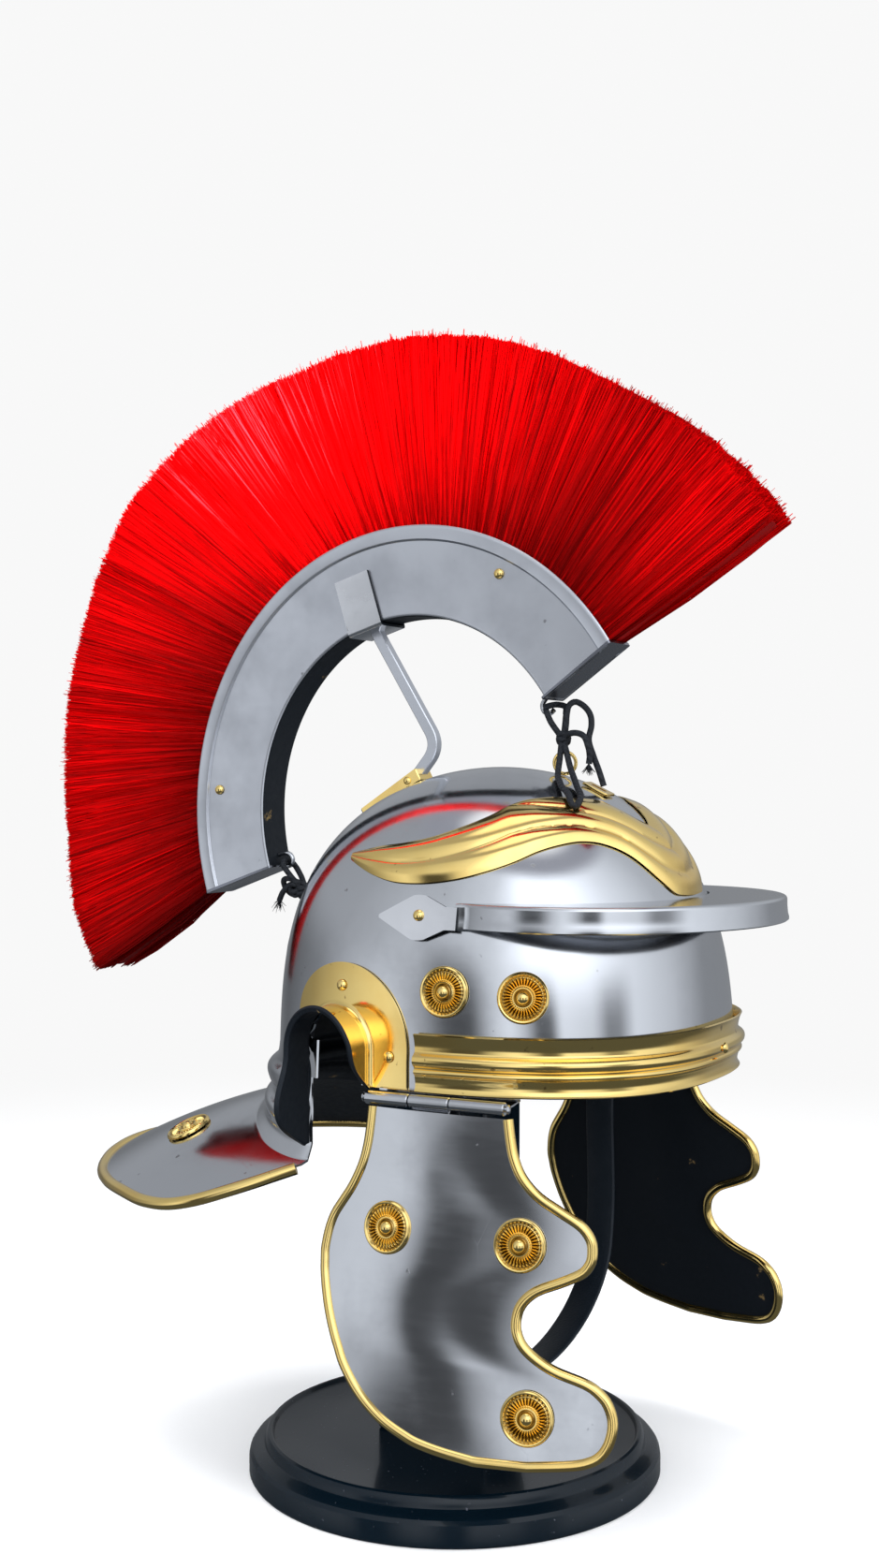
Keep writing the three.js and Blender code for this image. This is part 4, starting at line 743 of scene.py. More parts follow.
GUARD = [  # way along the edge, way back, way out
    (0.0, 1.0, 0.0), (0.136, 0.97, 0.274), (0.241, 0.915, 0.47), (0.333, 0.842, 0.628),
    (0.421, 0.751, 0.752), (0.532, 0.617, 0.876), (0.635, 0.483, 0.966), (0.713, 0.374, 1.0),
    (0.776, 0.283, 0.993), (0.842, 0.191, 0.958), (0.902, 0.112, 0.915), (0.954, 0.052, 0.873),
    (1.0, 0.0, 0.833)]


def guard_up(f, l):
    """The neck guard's height: a ridge that slopes and droops backwards, with an arch across it."""
    back = -90 - f
    return 183.5 - 0.216 * back - 0.00154 * back ** 2 - 0.0031 * l ** 2


def guard_edge(way, inset):
    """The guard's outline in plan moved inwards; way runs from -1, the right corner, to 1, the left."""
    keys, back, out = np.array(GUARD).T
    full = np.concatenate([-keys[:0:-1], keys])
    line = np.stack([-27.5 - 164.5 * np.concatenate([back[:0:-1], back]),
                     117 * np.concatenate([-out[:0:-1], out])], axis=1)
    spot = smooth(full, line, way)
    slope = smooth(full, line, np.minimum(way + 0.01, 1)) - smooth(full, line, np.maximum(way - 0.01, -1))
    slope = unit(slope)
    return spot[..., 0] + inset * slope[..., 1], spot[..., 1] - inset * slope[..., 0]


share = np.linspace(0, 1, len(nape_turns))
fade = np.sin(math.pi * share) ** 0.6
top_f, top_l = bowl_wall(nape_turns, SEAM)
away = unit(np.stack([top_f - AHEAD, top_l], axis=-1))
down = np.linspace(0, 1, 60)[:, None]
ribs = smooth([0, 0.16, 0.32, 0.43, 0.54, 0.68, 0.84, 1.0], [0, 1.6, 7.6, 6.4, 3.0, 9.0, 8.2, 12.0], down)
rib = ribs * fade + 2 * np.clip((down - 0.86) / 0.14, 0, 1)
foot_up = guard_up(top_f + away[:, 0] * (2 + 12 * fade), top_l + away[:, 1] * (2 + 12 * fade))
nape_f, nape_l = top_f + away[:, 0] * rib, top_l + away[:, 1] * rib
nape_u = SEAM + (foot_up - SEAM) * down
edge_f, edge_l = guard_edge(1 - 2 * share, 4.2)
out = np.linspace(0, 1, 46)[1:, None]
plate_f, plate_l = nape_f[-1] + (edge_f - nape_f[-1]) * out, nape_l[-1] + (edge_l - nape_l[-1]) * out
nape = grid(row(np.concatenate([nape_f, plate_f]), np.concatenate([nape_l, plate_l]),
                np.concatenate([nape_u, guard_up(plate_f, plate_l)])), away=row(AHEAD, 0, 120))
skull = walled(together([crown, nape]), SHEET)
piece("skull_shell", skull, HELMET, [steel, inside], ["skull"], crease=50)

trim_way = np.linspace(-0.99, 0.99, 160)
trim_f, trim_l = guard_edge(trim_way, 2.9)
roll = swept(row(trim_f, trim_l, guard_up(trim_f, trim_l) - SHEET / 2), circle(2.9, 16), (0, 0, 1))
piece("neck_guard_roll", roll, HELMET, [brass], ["neck_guard_trim"])
print("skull", made["skull_shell"], "triangles")

# %% [markdown]
# The brow band is one pressed strip of brass. Its section has a flared top, a thick bead, a thin
# bead and a flat foot, and it is carried round the front half of the rim.

# %% Brow band
BAND = [  # share of the height, millimetres out
    (0.0, 1.5), (0.03, 0.95), (0.24, 0.9), (0.28, 1.2), (0.31, 2.1), (0.345, 2.5), (0.38, 2.1), (0.41, 1.5),
    (0.44, 2.2), (0.48, 3.2), (0.55, 3.8), (0.62, 3.2), (0.66, 1.9), (0.69, 1.0), (0.73, 0.8), (0.86, 1.2),
    (0.97, 2.1), (1.0, 2.5)]
BAND_HIGH = 25
band_share = np.linspace(0, 1, 46)[:, None]
band_out = smooth(*np.array(BAND).T, band_share)
band_turn = np.linspace(-math.radians(89), math.radians(89), 170)[None, :]
f, l = bowl_wall(band_turn, RIM, GAP + band_out)
band = grid(row(f, l, RIM + BAND_HIGH * band_share + 0 * band_turn), away=CENTRE)
piece("brow_band_strip", walled(band, 0.9, 0), HELMET, [brass], ["brow_band"])

# %% [markdown]
# The brow guard stops a downward cut. It is a level shelf round the front, with its edge turned
# down into a lip, and a pointed tab near each end that is riveted to the bowl.

# %% Brow guard
SHELF, LIP, TABS = 284.0, 10.0, math.radians(114)
visor_turn = np.linspace(-TABS, TABS, 181)
edge_f, edge_l = 83 + 80.5 * np.cos(visor_turn), 96 * np.sin(visor_turn)
azimuth = np.arctan2(edge_l, edge_f - waist(SHELF)[2])
root_f, root_l, _ = bowl_on(azimuth, SHELF, GAP)
near_f, near_l, _ = bowl_on(azimuth, SHELF, 3.8)
outside = np.hypot(edge_f - AHEAD, edge_l) > np.hypot(near_f - AHEAD, near_l)
edge_f, edge_l = np.where(outside, edge_f, near_f), np.where(outside, edge_l, near_l)
aim = np.stack([np.cos(visor_turn), np.sin(visor_turn)])
corner = [(-0.2 + 1.8 * math.sin(k), -0.2 + 1.8 * math.cos(k)) for k in np.linspace(0, 1.57, 7)]
section = [(-1.0, 1.6)] + corner + [(1.6, -3.0), (1.9, -6.5), (2.4, -8.5), (2.4, 0.6 - LIP), (1.6, -LIP),
                                    (0, -LIP), (0, -1.0), (-0.8, 0.0)]
a, b = np.array(section).T[..., None]
rings_f = np.concatenate([root_f[None], edge_f + aim[0] * a, root_f[None]])
rings_l = np.concatenate([root_l[None], edge_l + aim[1] * a, root_l[None]])
rings_u = SHELF + np.concatenate([[[1.6]], b, [[0.0]]]) + 0 * visor_turn
rings = row(rings_f, rings_l, rings_u).transpose(1, 0, 2)
visor = outward(grid(rings, wrap=True))
caps = [grid(np.stack([ring, np.broadcast_to(ring.mean(axis=0), ring.shape)]), wrap=True, away=CENTRE)
        for ring in (rings[0], rings[-1])]
tab_share = np.linspace(0, 1, 50)[None, :]
tab_half = 10 * np.interp(tab_share, [0, 0.14, 0.4, 0.48, 0.56, 1.0], [0.5, 0.5, 0.97, 1.0, 0.97, 0.07])
tab_across = np.linspace(-1, 1, 14)[:, None]
tab_f, tab_u = 52 - 40 * tab_share + 0 * tab_across, SHELF - LIP / 2 + tab_half * tab_across
tab_flat = bowl_side(33.0, 279.0) + (tab_f - 33) * 0.06 - (tab_u - 279) * 0.12
tab_l = 3.4 + 0.35 * bowl_side(tab_f, tab_u) + 0.65 * tab_flat
# The tab takes the paler steel copy as a painted highlight, and its edges are black as a painted contact
# shadow round it.
tab = walled(grid(row(tab_f, tab_l, tab_u), away=CENTRE, finish=1), 1.8, 2)
tab.finish[tab.finish == 0] = 2
brow_guard = together([visor, tab, mirrored(tab)] + caps)
piece("brow_guard_shelf", brow_guard, HELMET, [steel, painted_light_steel, inside], ["brow_guard"], 30)

# %% [markdown]
# The wings are thin embossed brass. From the notch at the front each one climbs, widens and tapers
# to a tip above the ear; lengthwise rolls catch the light in long streaks.

# %% Wings
WING = [  # azimuth, lower edge, upper edge
    (0, 286.3, 318), (5, 286.6, 321.5), (10, 288, 326), (15, 294.5, 329.3), (22, 304.8, 330.3),
    (30, 310.4, 330.9), (37, 311.7, 331.2), (45, 310.3, 330.8), (52, 307.7, 330), (60, 303, 327.4),
    (68, 299, 323), (79, 295, 317.6), (90, 293.3, 313), (98, 293.7, 310.9), (108, 297, 309),
    (119, 302.3, 305.9)]
wing_keys, wing_low, wing_high = np.array(WING).T
wing_turn = np.linspace(0, 119, 200)[None, :]
wing_across = np.linspace(0, 1, 34)[:, None]
low, high = smooth(wing_keys, wing_low, wing_turn), smooth(wing_keys, wing_high, wing_turn)
rolls = 2 + np.clip((60 - wing_turn) / 30, 0, 1)
fold = (1.7 * np.abs(np.sin(math.pi * rolls * wing_across ** 0.9)) ** 0.8
        * np.sin(math.pi * wing_across) ** 0.35 * np.clip((high - low) / 16, 0.15, 1)
        + 0.9 * np.sin(math.pi * wing_across))
wing_spots = bowl_on(np.radians(wing_turn), low + (high - low) * wing_across, 0.95 + fold)
wing = grid(row(*wing_spots), away=CENTRE)
wings = walled(together([wing, mirrored(wing)]), 0.5, 0)
piece("brow_wing_sheet", wings, HELMET, [brass], ["brow_wings"], 45)

# %% [markdown]
# Each ear opening has a brass guard: a flange that lies on the bowl and a collar that stands out
# along the arch, with a leg running down the edge of the nape.

# %% Ear guards
EAR_RADIUS, COLLAR, FLANGE, LEG, FOLD = 18.9, 18.0, 19.0, 46.0, 2.4
EAR = np.array([  # share, flange, collar
    (0.0, 1.0, 0.1), (0.04, 1.0, 0.45), (0.09, 1.0, 0.8), (0.18, 1.02, 1.0), (0.4, 1.0, 1.0),
    (0.5, 0.8, 1.0), (0.58, 0.42, 1.0), (0.65, 0.06, 1.0), (0.93, 0.05, 1.0), (1.0, 0.05, 0.15)])
front_run, arch_run = EAR_TOP - RIM, math.pi * EAR_RADIUS
ear_share = np.linspace(0, 1, 150)[None, :]
ear_run = ear_share * (front_run + arch_run + LEG)
bend = np.clip((ear_run - front_run) / EAR_RADIUS, 0, math.pi)
arch_f = EAR_AT + EAR_RADIUS * np.cos(bend)
straight = np.maximum(front_run - ear_run, 0) + np.maximum(ear_run - front_run - arch_run, 0)
arch_u = EAR_TOP + EAR_RADIUS * np.sin(bend) - straight
flange = FLANGE * smooth(EAR[:, 0], EAR[:, 1], ear_share)
collar = COLLAR * smooth(EAR[:, 0], EAR[:, 2], ear_share)
angle = np.linspace(0, math.pi / 2, 8)[:, None]
steps = np.linspace(1, 0, 12)[:, None]
rising = np.linspace(0, 1, 9)[:, None]
fold_in, fold_up = np.minimum(FOLD, flange), np.minimum(FOLD, collar)
reach = np.concatenate([fold_in + (flange - fold_in) * steps, fold_in * (1 - np.sin(angle)),
                        0 * rising * flange, 0.7 + 0 * flange, 1.1 + 0 * flange])
lift = np.concatenate([1.0 + 0 * flange * steps, 1.0 + fold_up * (1 - np.cos(angle)),
                       1 + fold_up + (collar - fold_up) * rising, 1.4 + collar, 0.9 + collar])
f, u = arch_f + np.cos(bend) * reach, arch_u + np.sin(bend) * reach
l = bowl_side(f, np.maximum(u, RIM), GAP) + lift
ear = walled(grid(row(f, l, u), away=row(EAR_AT, 60, 215)), 1.0, 1)
both_sides("ear_guard_plate_", ear, HELMET, [brass, inside], "ear_guard_")

# %% [markdown]
# A cheek guard is a shaped steel plate with a rolled brass edge. Two curves down the plate, its
# back and front edge, give the outline; the plate itself curves round the jaw and flares out.

# %% Cheek guards
CHEEK_BACK, CHEEK_LONG, CHEEK_TOP, CHEEK_HIGH = -4.1, 138, 196, 142
CHEEK_ROWS = np.array([  # down, back, front
    (0, .13, .64), (.056, .129, .651), (.113, .125, .667), (.169, .113, .7), (.211, .096, .748),
    (.246, .078, .812), (.282, .054, .876), (.324, .027, .912), (.366, .011, .921), (.408, .003, .914),
    (.444, 0, .884),
    (.472, .003, .827), (.5, .006, .758), (.535, .013, .716), (.57, .022, .703), (.606, .033, .705),
    (.641, .046, .725), (.669, .058, .762), (.697, .071, .817), (.725, .086, .907), (.761, .105, .962),
    (.803, .136, .99), (.845, .174, 1), (.887, .224, .996), (.923, .281, .983), (.951, .344, .962),
    (.968, .391, .937), (.986, .48, .872), (1, .582, .741)])


def cheek_left(f, u):
    """How far out the plate lies: it flares downwards and curves in towards the front."""
    down, ahead = (CHEEK_TOP - u) / 100, (f - 70) / 100
    flare = 14.09 * down + 0.37 * down ** 2
    return 104.64 + flare - 8.05 * ahead - 13.28 * ahead ** 2 - 7.03 * down * ahead


def cheek_normal(f, u):
    """The plate's direction outwards, from small steps ahead and up."""
    step = 0.5
    ahead = (cheek_left(f + step, u) - cheek_left(f - step, u)) / (2 * step)
    up = (cheek_left(f, u + step) - cheek_left(f, u - step)) / (2 * step)
    return unit(np.stack([-ahead, np.ones_like(ahead), -up], axis=-1))


def cheek_press(across, down):
    """The press of the plate: a low swell behind its middle and a shallow hollow along the front edge."""
    rise = np.sin(math.pi * np.clip(across, 0, 1)) ** 1.5
    swell = np.exp(-((across - 0.4) / 0.24) ** 2)
    hollow = np.exp(-((across - 0.76 - 0.03 * np.cos(7 * down)) / 0.15) ** 2)
    return rise * (0.8 * swell - 0.6 * hollow) * np.clip(down * 6, 0, 1) * np.clip((1 - down) * 8, 0, 1)


def cheek_point(f, u, out):
    """A point of the plate in side view, pushed out square to it."""
    normal = cheek_normal(f, u)
    return row(f + out * normal[..., 0], cheek_left(f, u) + out * normal[..., 1], u + out * normal[..., 2])


rows_down = np.concatenate([np.linspace(0, 0.9, 110), np.linspace(0.9, 1, 30)[1:]])
back_f, front_f = CHEEK_BACK + CHEEK_LONG * smooth(CHEEK_ROWS[:, 0], CHEEK_ROWS[:, 1:], rows_down).T
edge_u = CHEEK_TOP - CHEEK_HIGH * rows_down
outline = np.concatenate([np.stack([back_f, edge_u], axis=1), np.stack([front_f, edge_u], axis=1)[::-1]])


def inset(line, distance):
    """Each outline point moved inwards in side view."""
    ahead = unit(np.gradient(line, axis=0))
    return line + distance * np.stack([-ahead[:, 1], ahead[:, 0]], axis=1)


plate_line = inset(outline, 2.2)
plate_back, plate_front = plate_line[:len(rows_down)], plate_line[len(rows_down):][::-1]
across = np.linspace(0, 1, 48)[None, :]
f = plate_back[:, :1] + (plate_front[:, :1] - plate_back[:, :1]) * across
u = plate_back[:, 1:] + (plate_front[:, 1:] - plate_back[:, 1:]) * across
pressed = cheek_point(f, u, SHEET / 2 + cheek_press(across, rows_down[:, None]))
plate = walled(grid(pressed, away=row(60, 0, 130)), SHEET)
trim_line = inset(outline, 2.3)
trim_path = cheek_point(trim_line[:, 0], trim_line[:, 1], 0.0)
trim = swept(evenly(trim_path, 240), circle(2.3, 14), (1, 0, 0))
both_sides("cheek_guard_plate_", plate, CHEEK, [steel, inside], "cheek_plate_")
both_sides("cheek_guard_roll_", trim, CHEEK, [brass], "cheek_trim_")

# %% [markdown]
# The hinges: three knuckles on one pin. The outer two belong to the bowl, the middle one to the
# cheek guard, and a leaf from each lies behind its sheet.

# %% Hinges
PIN_BACK, PIN_LONG, PIN_UP = 12, 69, 199.6


def pin_left(forward):
    """How far left the pin's axis lies."""
    return 104.6 - 0.023 * (forward - PIN_BACK)


pin_start = row(PIN_BACK, pin_left(PIN_BACK), PIN_UP)
pin_end = row(PIN_BACK + PIN_LONG, pin_left(PIN_BACK + PIN_LONG), PIN_UP)
pin_axis = pin_end - pin_start


def knuckle(start, end):
    """A short tube round the pin with softly turned ends."""
    length = PIN_LONG * (end - start)
    profile = [(1.35, 0), (2.5, 0), (2.9, 0.4), (2.9, length - 0.4), (2.5, length), (1.35, length),
               (1.35, 0)]
    return turned(profile, pin_start + pin_axis * start, pin_axis, 32)


def fixed_leaf():
    """The leaf bends in under the rim and up the inside of the bowl."""
    f = PIN_BACK + PIN_LONG * np.linspace(0.01, 0.985, 40)[None, :]
    bowl_in = bowl_side(f, RIM, -3.35)
    knuckle_in = pin_left(f) - 2.2
    t = np.array([0, 0.5, 1.0, 1.02, 1.04])[:, None]
    l = knuckle_in + (bowl_in - knuckle_in) * np.minimum(t, 1)
    u = np.array([199.8, 200.3, 201.2, 209.0, 218.0])[:, None] + 0 * f
    return walled(grid(row(f, l, u), away=row(45, 60, 190)), 0.8, 0)


def moving_leaf():
    """The leaf hangs from the middle knuckle behind the cheek plate."""
    f = PIN_BACK + PIN_LONG * np.linspace(0.33, 0.596, 14)[None, :]
    u = np.array([199.6, 197.0, 194.6, 189.0, 183.6])[:, None] + 0 * f
    l = np.where(u > 195, pin_left(f) - 1.4, cheek_left(f, u) - 0.95)
    return walled(grid(row(f, l, u), away=row(45, 60, 190)), 0.9, 0)


head = [(0, 1.6), (1.2, 1.5), (2, 1.1), (2, 0.6), (1.1, 0.6)]
pin = turned([(r, -h) for r, h in head] + [(1.1, 69.6), (2, 69.6), (2, 70.1), (1.2, 70.6), (0, 70.7)],
             pin_start, pin_axis, 24)
fixed = together([knuckle(0.005, 0.314), knuckle(0.612, 0.99), fixed_leaf()])
moving = together([knuckle(0.322, 0.604), moving_leaf()])
both_sides("hinge_knuckles_", fixed, HELMET, [steel], "hinge_fixed_", 30)
both_sides("hinge_rod_", pin, HELMET, [steel], "hinge_pin_", 30)
both_sides("hinge_leaf_", moving, CHEEK, [steel], "hinge_moving_", 30)

# %% [markdown]
# Each rosette is a struck brass disc: a raised rim, a ring of radial flutes, an inner ring and a
# domed boss. Turning a profile and adding a ripple round it gives the flutes in one formula.

# %% Rosettes and rivets
ROSE = [  # radius, height
    (0, 3.7), (0.8, 3.65), (1.6, 3.35), (2.4, 2.7), (2.8, 1.9), (3.0, 1.1), (3.3, 0.9), (3.7, 1.5),
    (4.1, 1.9), (4.5, 1.9), (4.9, 1.4), (5.1, 1.1), (5.6, 1.3), (6.6, 1.35), (7.6, 1.3), (8.4, 1.2),
    (8.8, 0.9), (9.1, 0.75), (9.5, 1.1), (10.0, 1.7), (10.5, 1.85), (11.0, 1.5), (11.35, 0.8), (11.4, 0.0)]


def flutes(radius, turn):
    """Ripples round the middle band of the disc, which fade out at both its edges."""
    band = np.clip((radius - 5.1) / 0.6, 0, 1) * np.clip((8.8 - radius) / 0.5, 0, 1)
    return band * 0.7 * np.cos(FLUTES * turn)


def rosette(point, normal):
    """A fluted disc that stands on a point."""
    return turned(ROSE, point, normal, 6 * FLUTES, flutes)


def rivet(point, normal, size=1.0):
    """A low dome that stands on a point."""
    angle = np.linspace(0, math.pi / 2, 8)
    dome = np.stack([2.6 * size * np.cos(angle), 1.8 * size * np.sin(angle)], axis=1)
    return turned(dome, point, normal, 28)


def on_bowl(forward, up, out):
    """A place on the left side of the bowl and its normal, both in the row frame."""
    left = bowl_side(forward, up)
    n = bowl_normal(forward, left, up)
    return (row(forward + out * n[0], left + out * n[1], up + out * n[2]), row(n[0], n[1], n[2]) * 1000)


def pair(name, shape, body=HELMET, finish=brass):
    """A rivet or rosette on the left and, mirrored, on the right."""
    both_sides(f"{name}_disc_", shape, body, [finish], f"{name}_", 30)


for name, forward, up in (("bowl_rosette_rear", 47, 247), ("bowl_rosette_front", 81.5, 245.5)):
    pair(name, rosette(*on_bowl(forward, up, 0.4)), finish=rose_brass)
guard_normal = unit(np.array([guard_up(-120.5, 58) - guard_up(-119.5, 58),
                              guard_up(-120, 57.5) - guard_up(-120, 58.5), 1]))
guard_spot = np.array([-120, 58, guard_up(-120, 58)]) + guard_normal * 0.5
pair("neck_guard_rosette", rosette(row(*guard_spot), row(*guard_normal) * 1000), finish=rose_brass)
for name, forward, up in (("rear", 29.5, 146), ("front", 90.5, 144.5), ("lower", 97.5, 75.5)):
    forward, up = np.float64(forward), np.float64(up)
    shape = rosette(cheek_point(forward, up, 0.95), row(*cheek_normal(forward, up)) * 1000)
    pair(f"cheek_rosette_{name}", shape, CHEEK, rose_brass)
for name, forward, up in (("ear_guard_rivet_upper", -6, 247), ("ear_guard_rivet_lower", 20.5, 217)):
    pair(name, rivet(*on_bowl(forward, up, 1.75)))
pair("brow_guard_rivet", rivet(*on_bowl(33, SHELF - LIP / 2, 3.6)))
band_spot = row(bowl_wall(0, RIM, GAP + 3.9)[0], 0, RIM + BAND_HIGH * 0.55)
piece("brow_band_stud", rivet(band_spot, (0, -1, 0)), HELMET, [brass], ["brow_band_rivet"], 30)

# %% [markdown]
# The crest box is an arched steel channel. Its section, two walls with a raised lip and a floor,
# is carried along the arch. The underside of the floor is black, and a flat plate closes
# each end.

# %% Crest box
ARCH_F, ARCH_U, ARCH_LONG, ARCH_HIGH, DEEP, TALLER = -19.3, 325.0, 130.8, 141.8, 42.0, 1.08
START, END = math.radians(34), math.radians(198.5)


def crest(turn, inset):
    """Forward and up on the arch, an inset in from its outer edge."""
    return (ARCH_F + (ARCH_LONG - inset) * np.cos(turn),
            ARCH_U + (ARCH_HIGH - inset * TALLER) * np.sin(turn))


left_wall = np.array([  # inset, left
    (0.5, 9.6), (0, 10.2), (0, 11.2), (0.5, 11.7), (1.3, 11.9), (1.8, 11.9), (6.0, 11.9), (6.5, 11.8),
    (6.9, 11.4), (7.1, 10.8), (7.4, 10.5), (8.0, 10.5), (20, 10.5), (40.2, 10.5), (40.9, 10.45),
    (41.6, 10.1), (41.95, 9.4), (42, 8.8)])
floor = np.array([(42, y) for y in np.linspace(8.8, -8.8, 8)[1:-1]])
profile = np.concatenate([left_wall, floor, left_wall[::-1] * [1, -1]])
arch = np.linspace(START, END, 150)[:, None]
f, u = crest(arch, profile[None, :, 0])
box = grid(row(f, profile[None, :, 1] + 0 * f, u))
corner = box.points[box.faces]
middle = corner.mean(axis=1) * 1000
off_middle = np.abs(middle[:, 0])
reach = np.hypot((-middle[:, 1] - ARCH_F) / (ARCH_LONG - DEEP),
                 (middle[:, 2] - ARCH_U) / (ARCH_HIGH - DEEP * TALLER))
box.finish = np.where((reach < 1.004) & (off_middle < 9.9), 1, 0)
normal = np.cross(corner[:, 1] - corner[:, 0], corner[:, 2] - corner[:, 0])
side_wall = (reach > 1.25) & (off_middle > 10.3)
if (normal[side_wall, 0] * np.sign(middle[side_wall, 0])).sum() < 0:
    box = flipped(box)


def end_cap(turn, lean):
    """A flat plate with rounded corners that closes an end of the box and stands a little proud."""
    spots = rounded(20.3, 11.0, 1.2, 6)
    rings = []
    for thick, size in ((0, 0), (0, 1), (1.4, 1), (1.4, 0)):
        f, u = crest(turn + lean * thick / 130, 21.3 + spots[:, 0] * size)
        rings.append(row(f, spots[:, 1] * size, u))
    rings = np.stack(rings)
    # The end plates take the darker steel copy as painted shade.
    return grid(rings, wrap=True, away=rings.mean(axis=(0, 1)), finish=2)


channel = together([walled(box, SHEET, 0), end_cap(START, 1), end_cap(END, -1)])
piece("crest_box_channel", channel, HELMET, [box_steel_painted_light, inside, painted_shade_steel], ["crest_box"], 30)
for name, degrees in (("crest_rivet_front", 65), ("crest_rivet_rear", 175.5)):
    f, u = crest(math.radians(degrees), 14)
    pair(name, rivet(row(f, 10.8, u), (1, 0, 0)))

# %% [markdown]
# The brush. Thousands of dyed bristles fan out from the box. Behind them a darker core fills the
# fan, so that no light comes through, its darkness painted shade; the bristles are ribbons worked out
# as whole arrays, with their own length, lean and tone, and the ragged tips make the edge. Their tone
# carries painted light and shade: brightest over the top, darker at both ends and at the roots, and
# a pinkish painted sheen where it is brightest.

# %% Plume
PLUME = [  # share from front to rear, share of the full reach
    (0, .964), (.085, .962), (.155, .954), (.235, .973), (.305, .98), (.41, .973), (.49, .99), (.566, .996),
    (.6, 1), (.64, .98), (.695, .955), (.755, .938), (.817, .917), (.88, .903), (.943, .913), (1, .895)]
# The tones below are painted light and shade along the brush.
PAINTED_LIGHT_TONE = [  # share from front to rear, tone
    (0, .36), (.015, .4), (.05, .42), (.11, .33), (.15, .42), (.2, .52), (.27, .66), (.35, .8), (.46, 1.12),
    (.52, 1.08), (.6, .66), (.66, .46), (.74, .43), (.85, .38), (.93, .34), (.985, .25), (1, .1)]
TIP_START, TIP_END, TIP = math.radians(35.5), math.radians(204.5), 240.0
CORE_ROWS, BRISTLES = 420, 24000


def fan(share, inset):
    """The root on the arch and the tip of the brush at a share of the way from front to rear."""
    root = crest(START + 0.016 + (END - START - 0.032) * share, inset)
    reach = TIP * np.interp(share, *np.array(PLUME).T)
    turn = TIP_START + (TIP_END - TIP_START) * share
    return np.stack(root, -1), np.stack([ARCH_F + reach * np.cos(turn), ARCH_U + reach * np.sin(turn)], -1)


def painted_light_tone(share):
    """The brush's tone from front to rear, painted light and shade: deep at both ends, brightest over the
    top.
    """
    return np.interp(share, *np.array(PAINTED_LIGHT_TONE).T)


def bristles(count, low, high, width):
    """Ribbons of three lengths each, and the tones of their points from the root, darker as painted shade,
    to the blunt tip.
    """
    share = low + (high - low) * random.random(count)
    side = np.sign(random.random(count) - 0.5) * (1 - 0.75 * random.random(count) ** 1.6)
    lock = np.sin(share * 210) * 0.5 + np.sin(share * 97 + 2 * side) * 0.5
    tip_share = np.clip(share + random.normal(0, 0.0028, count) + 0.001 * lock, 0, 1)
    root, tip = fan(share, 2.0)[0], fan(tip_share, 2.0)[1]
    stray = random.random(count) < 0.05
    length = 1.0 - np.abs(random.normal(0, 0.018, count)) - 0.006 * (1 + lock)
    length = length + 0.035 * stray * random.random(count)
    t = np.array([0.0, 0.4, 0.75, 1.0])[None, :]
    way = t * length[:, None]
    bow = random.normal(0, 1.0, count)[:, None] * np.sin(math.pi * t)
    ahead = unit(tip - root)
    flat = root[:, None] + (tip - root)[:, None] * way[..., None]
    flat = flat + bow[..., None] * np.stack([-ahead[:, 1], ahead[:, 0]], -1)[:, None]
    out = side[:, None] * (9.0 + (7.5 + 0.7 * lock[:, None]) * way ** 0.7)
    out = out + random.normal(0, 0.35, count)[:, None] * t
    middle = row(flat[..., 0], out, flat[..., 1])
    spin = random.normal(0, 0.5, count)[:, None]
    beside = row(-ahead[:, 1], 0, ahead[:, 0]) * 1000
    across = beside * np.cos(spin) + np.array([1.0, 0, 0]) * np.sin(spin)
    half = width * random.uniform(0.6, 1.3, count)[:, None] * np.array([1.0, 1.0, 0.85, 0.45]) * 0.0005
    spread = across[:, None] * half[..., None]
    points = np.stack([middle - spread, middle + spread], 2)
    start = np.arange(count)[:, None, None] * 8 + np.arange(3)[None, :, None] * 2
    faces = (start + np.array([[0, 1, 3, 0, 3, 2]])[None]).reshape(-1, 3)
    # A ribbon's tone is the painted light and shade of its place times its own random tone.
    tone = painted_light_tone(share) * np.clip(1 + 0.06 * lock + random.normal(0, 0.24, count), 0.3, 1.7)
    # Each ribbon darkens towards its root as painted shade near the box.
    tones = tone[:, None] * np.array([0.4, 0.8, 1.0, 1.05])[None, :]
    ribbons = Surface(points.reshape(-1, 3), faces, np.zeros((len(faces), 3, 2)), np.zeros(len(faces), int))
    return ribbons, np.repeat(tones.ravel(), 2)


def plume_core():
    """The fan's own body, a little inside the bristles, grooved along them."""
    share = np.linspace(0, 1, CORE_ROWS)[:, None]
    root, tip = fan(share[:, 0], 1.0)
    side_rows = np.array([  # share of the reach, left
        (-0.02, 8.8), (0.1, 9.8), (0.35, 12.5), (0.6, 13.8), (0.85, 14.0), (0.93, 11), (0.95, 0)])
    full = np.concatenate([side_rows, side_rows[:-1][::-1] * [1, -1]])
    notch = 0.35 * np.sin(share * 900) + 0.35 * np.sin(share * 517 + 1)
    flat = root[:, None] + (tip - root)[:, None] * full[None, :, :1]
    out = full[None, :, 1] + np.sign(full[None, :, 1]) * notch
    rings = row(flat[..., 0], out, flat[..., 1])
    return capped(rings, rings[0].mean(axis=0), rings[-1].mean(axis=0))


core = plume_core()
core_painted_tone = np.repeat(painted_light_tone(np.linspace(0, 1, CORE_ROWS + 2)), len(core.points) // (CORE_ROWS + 2))
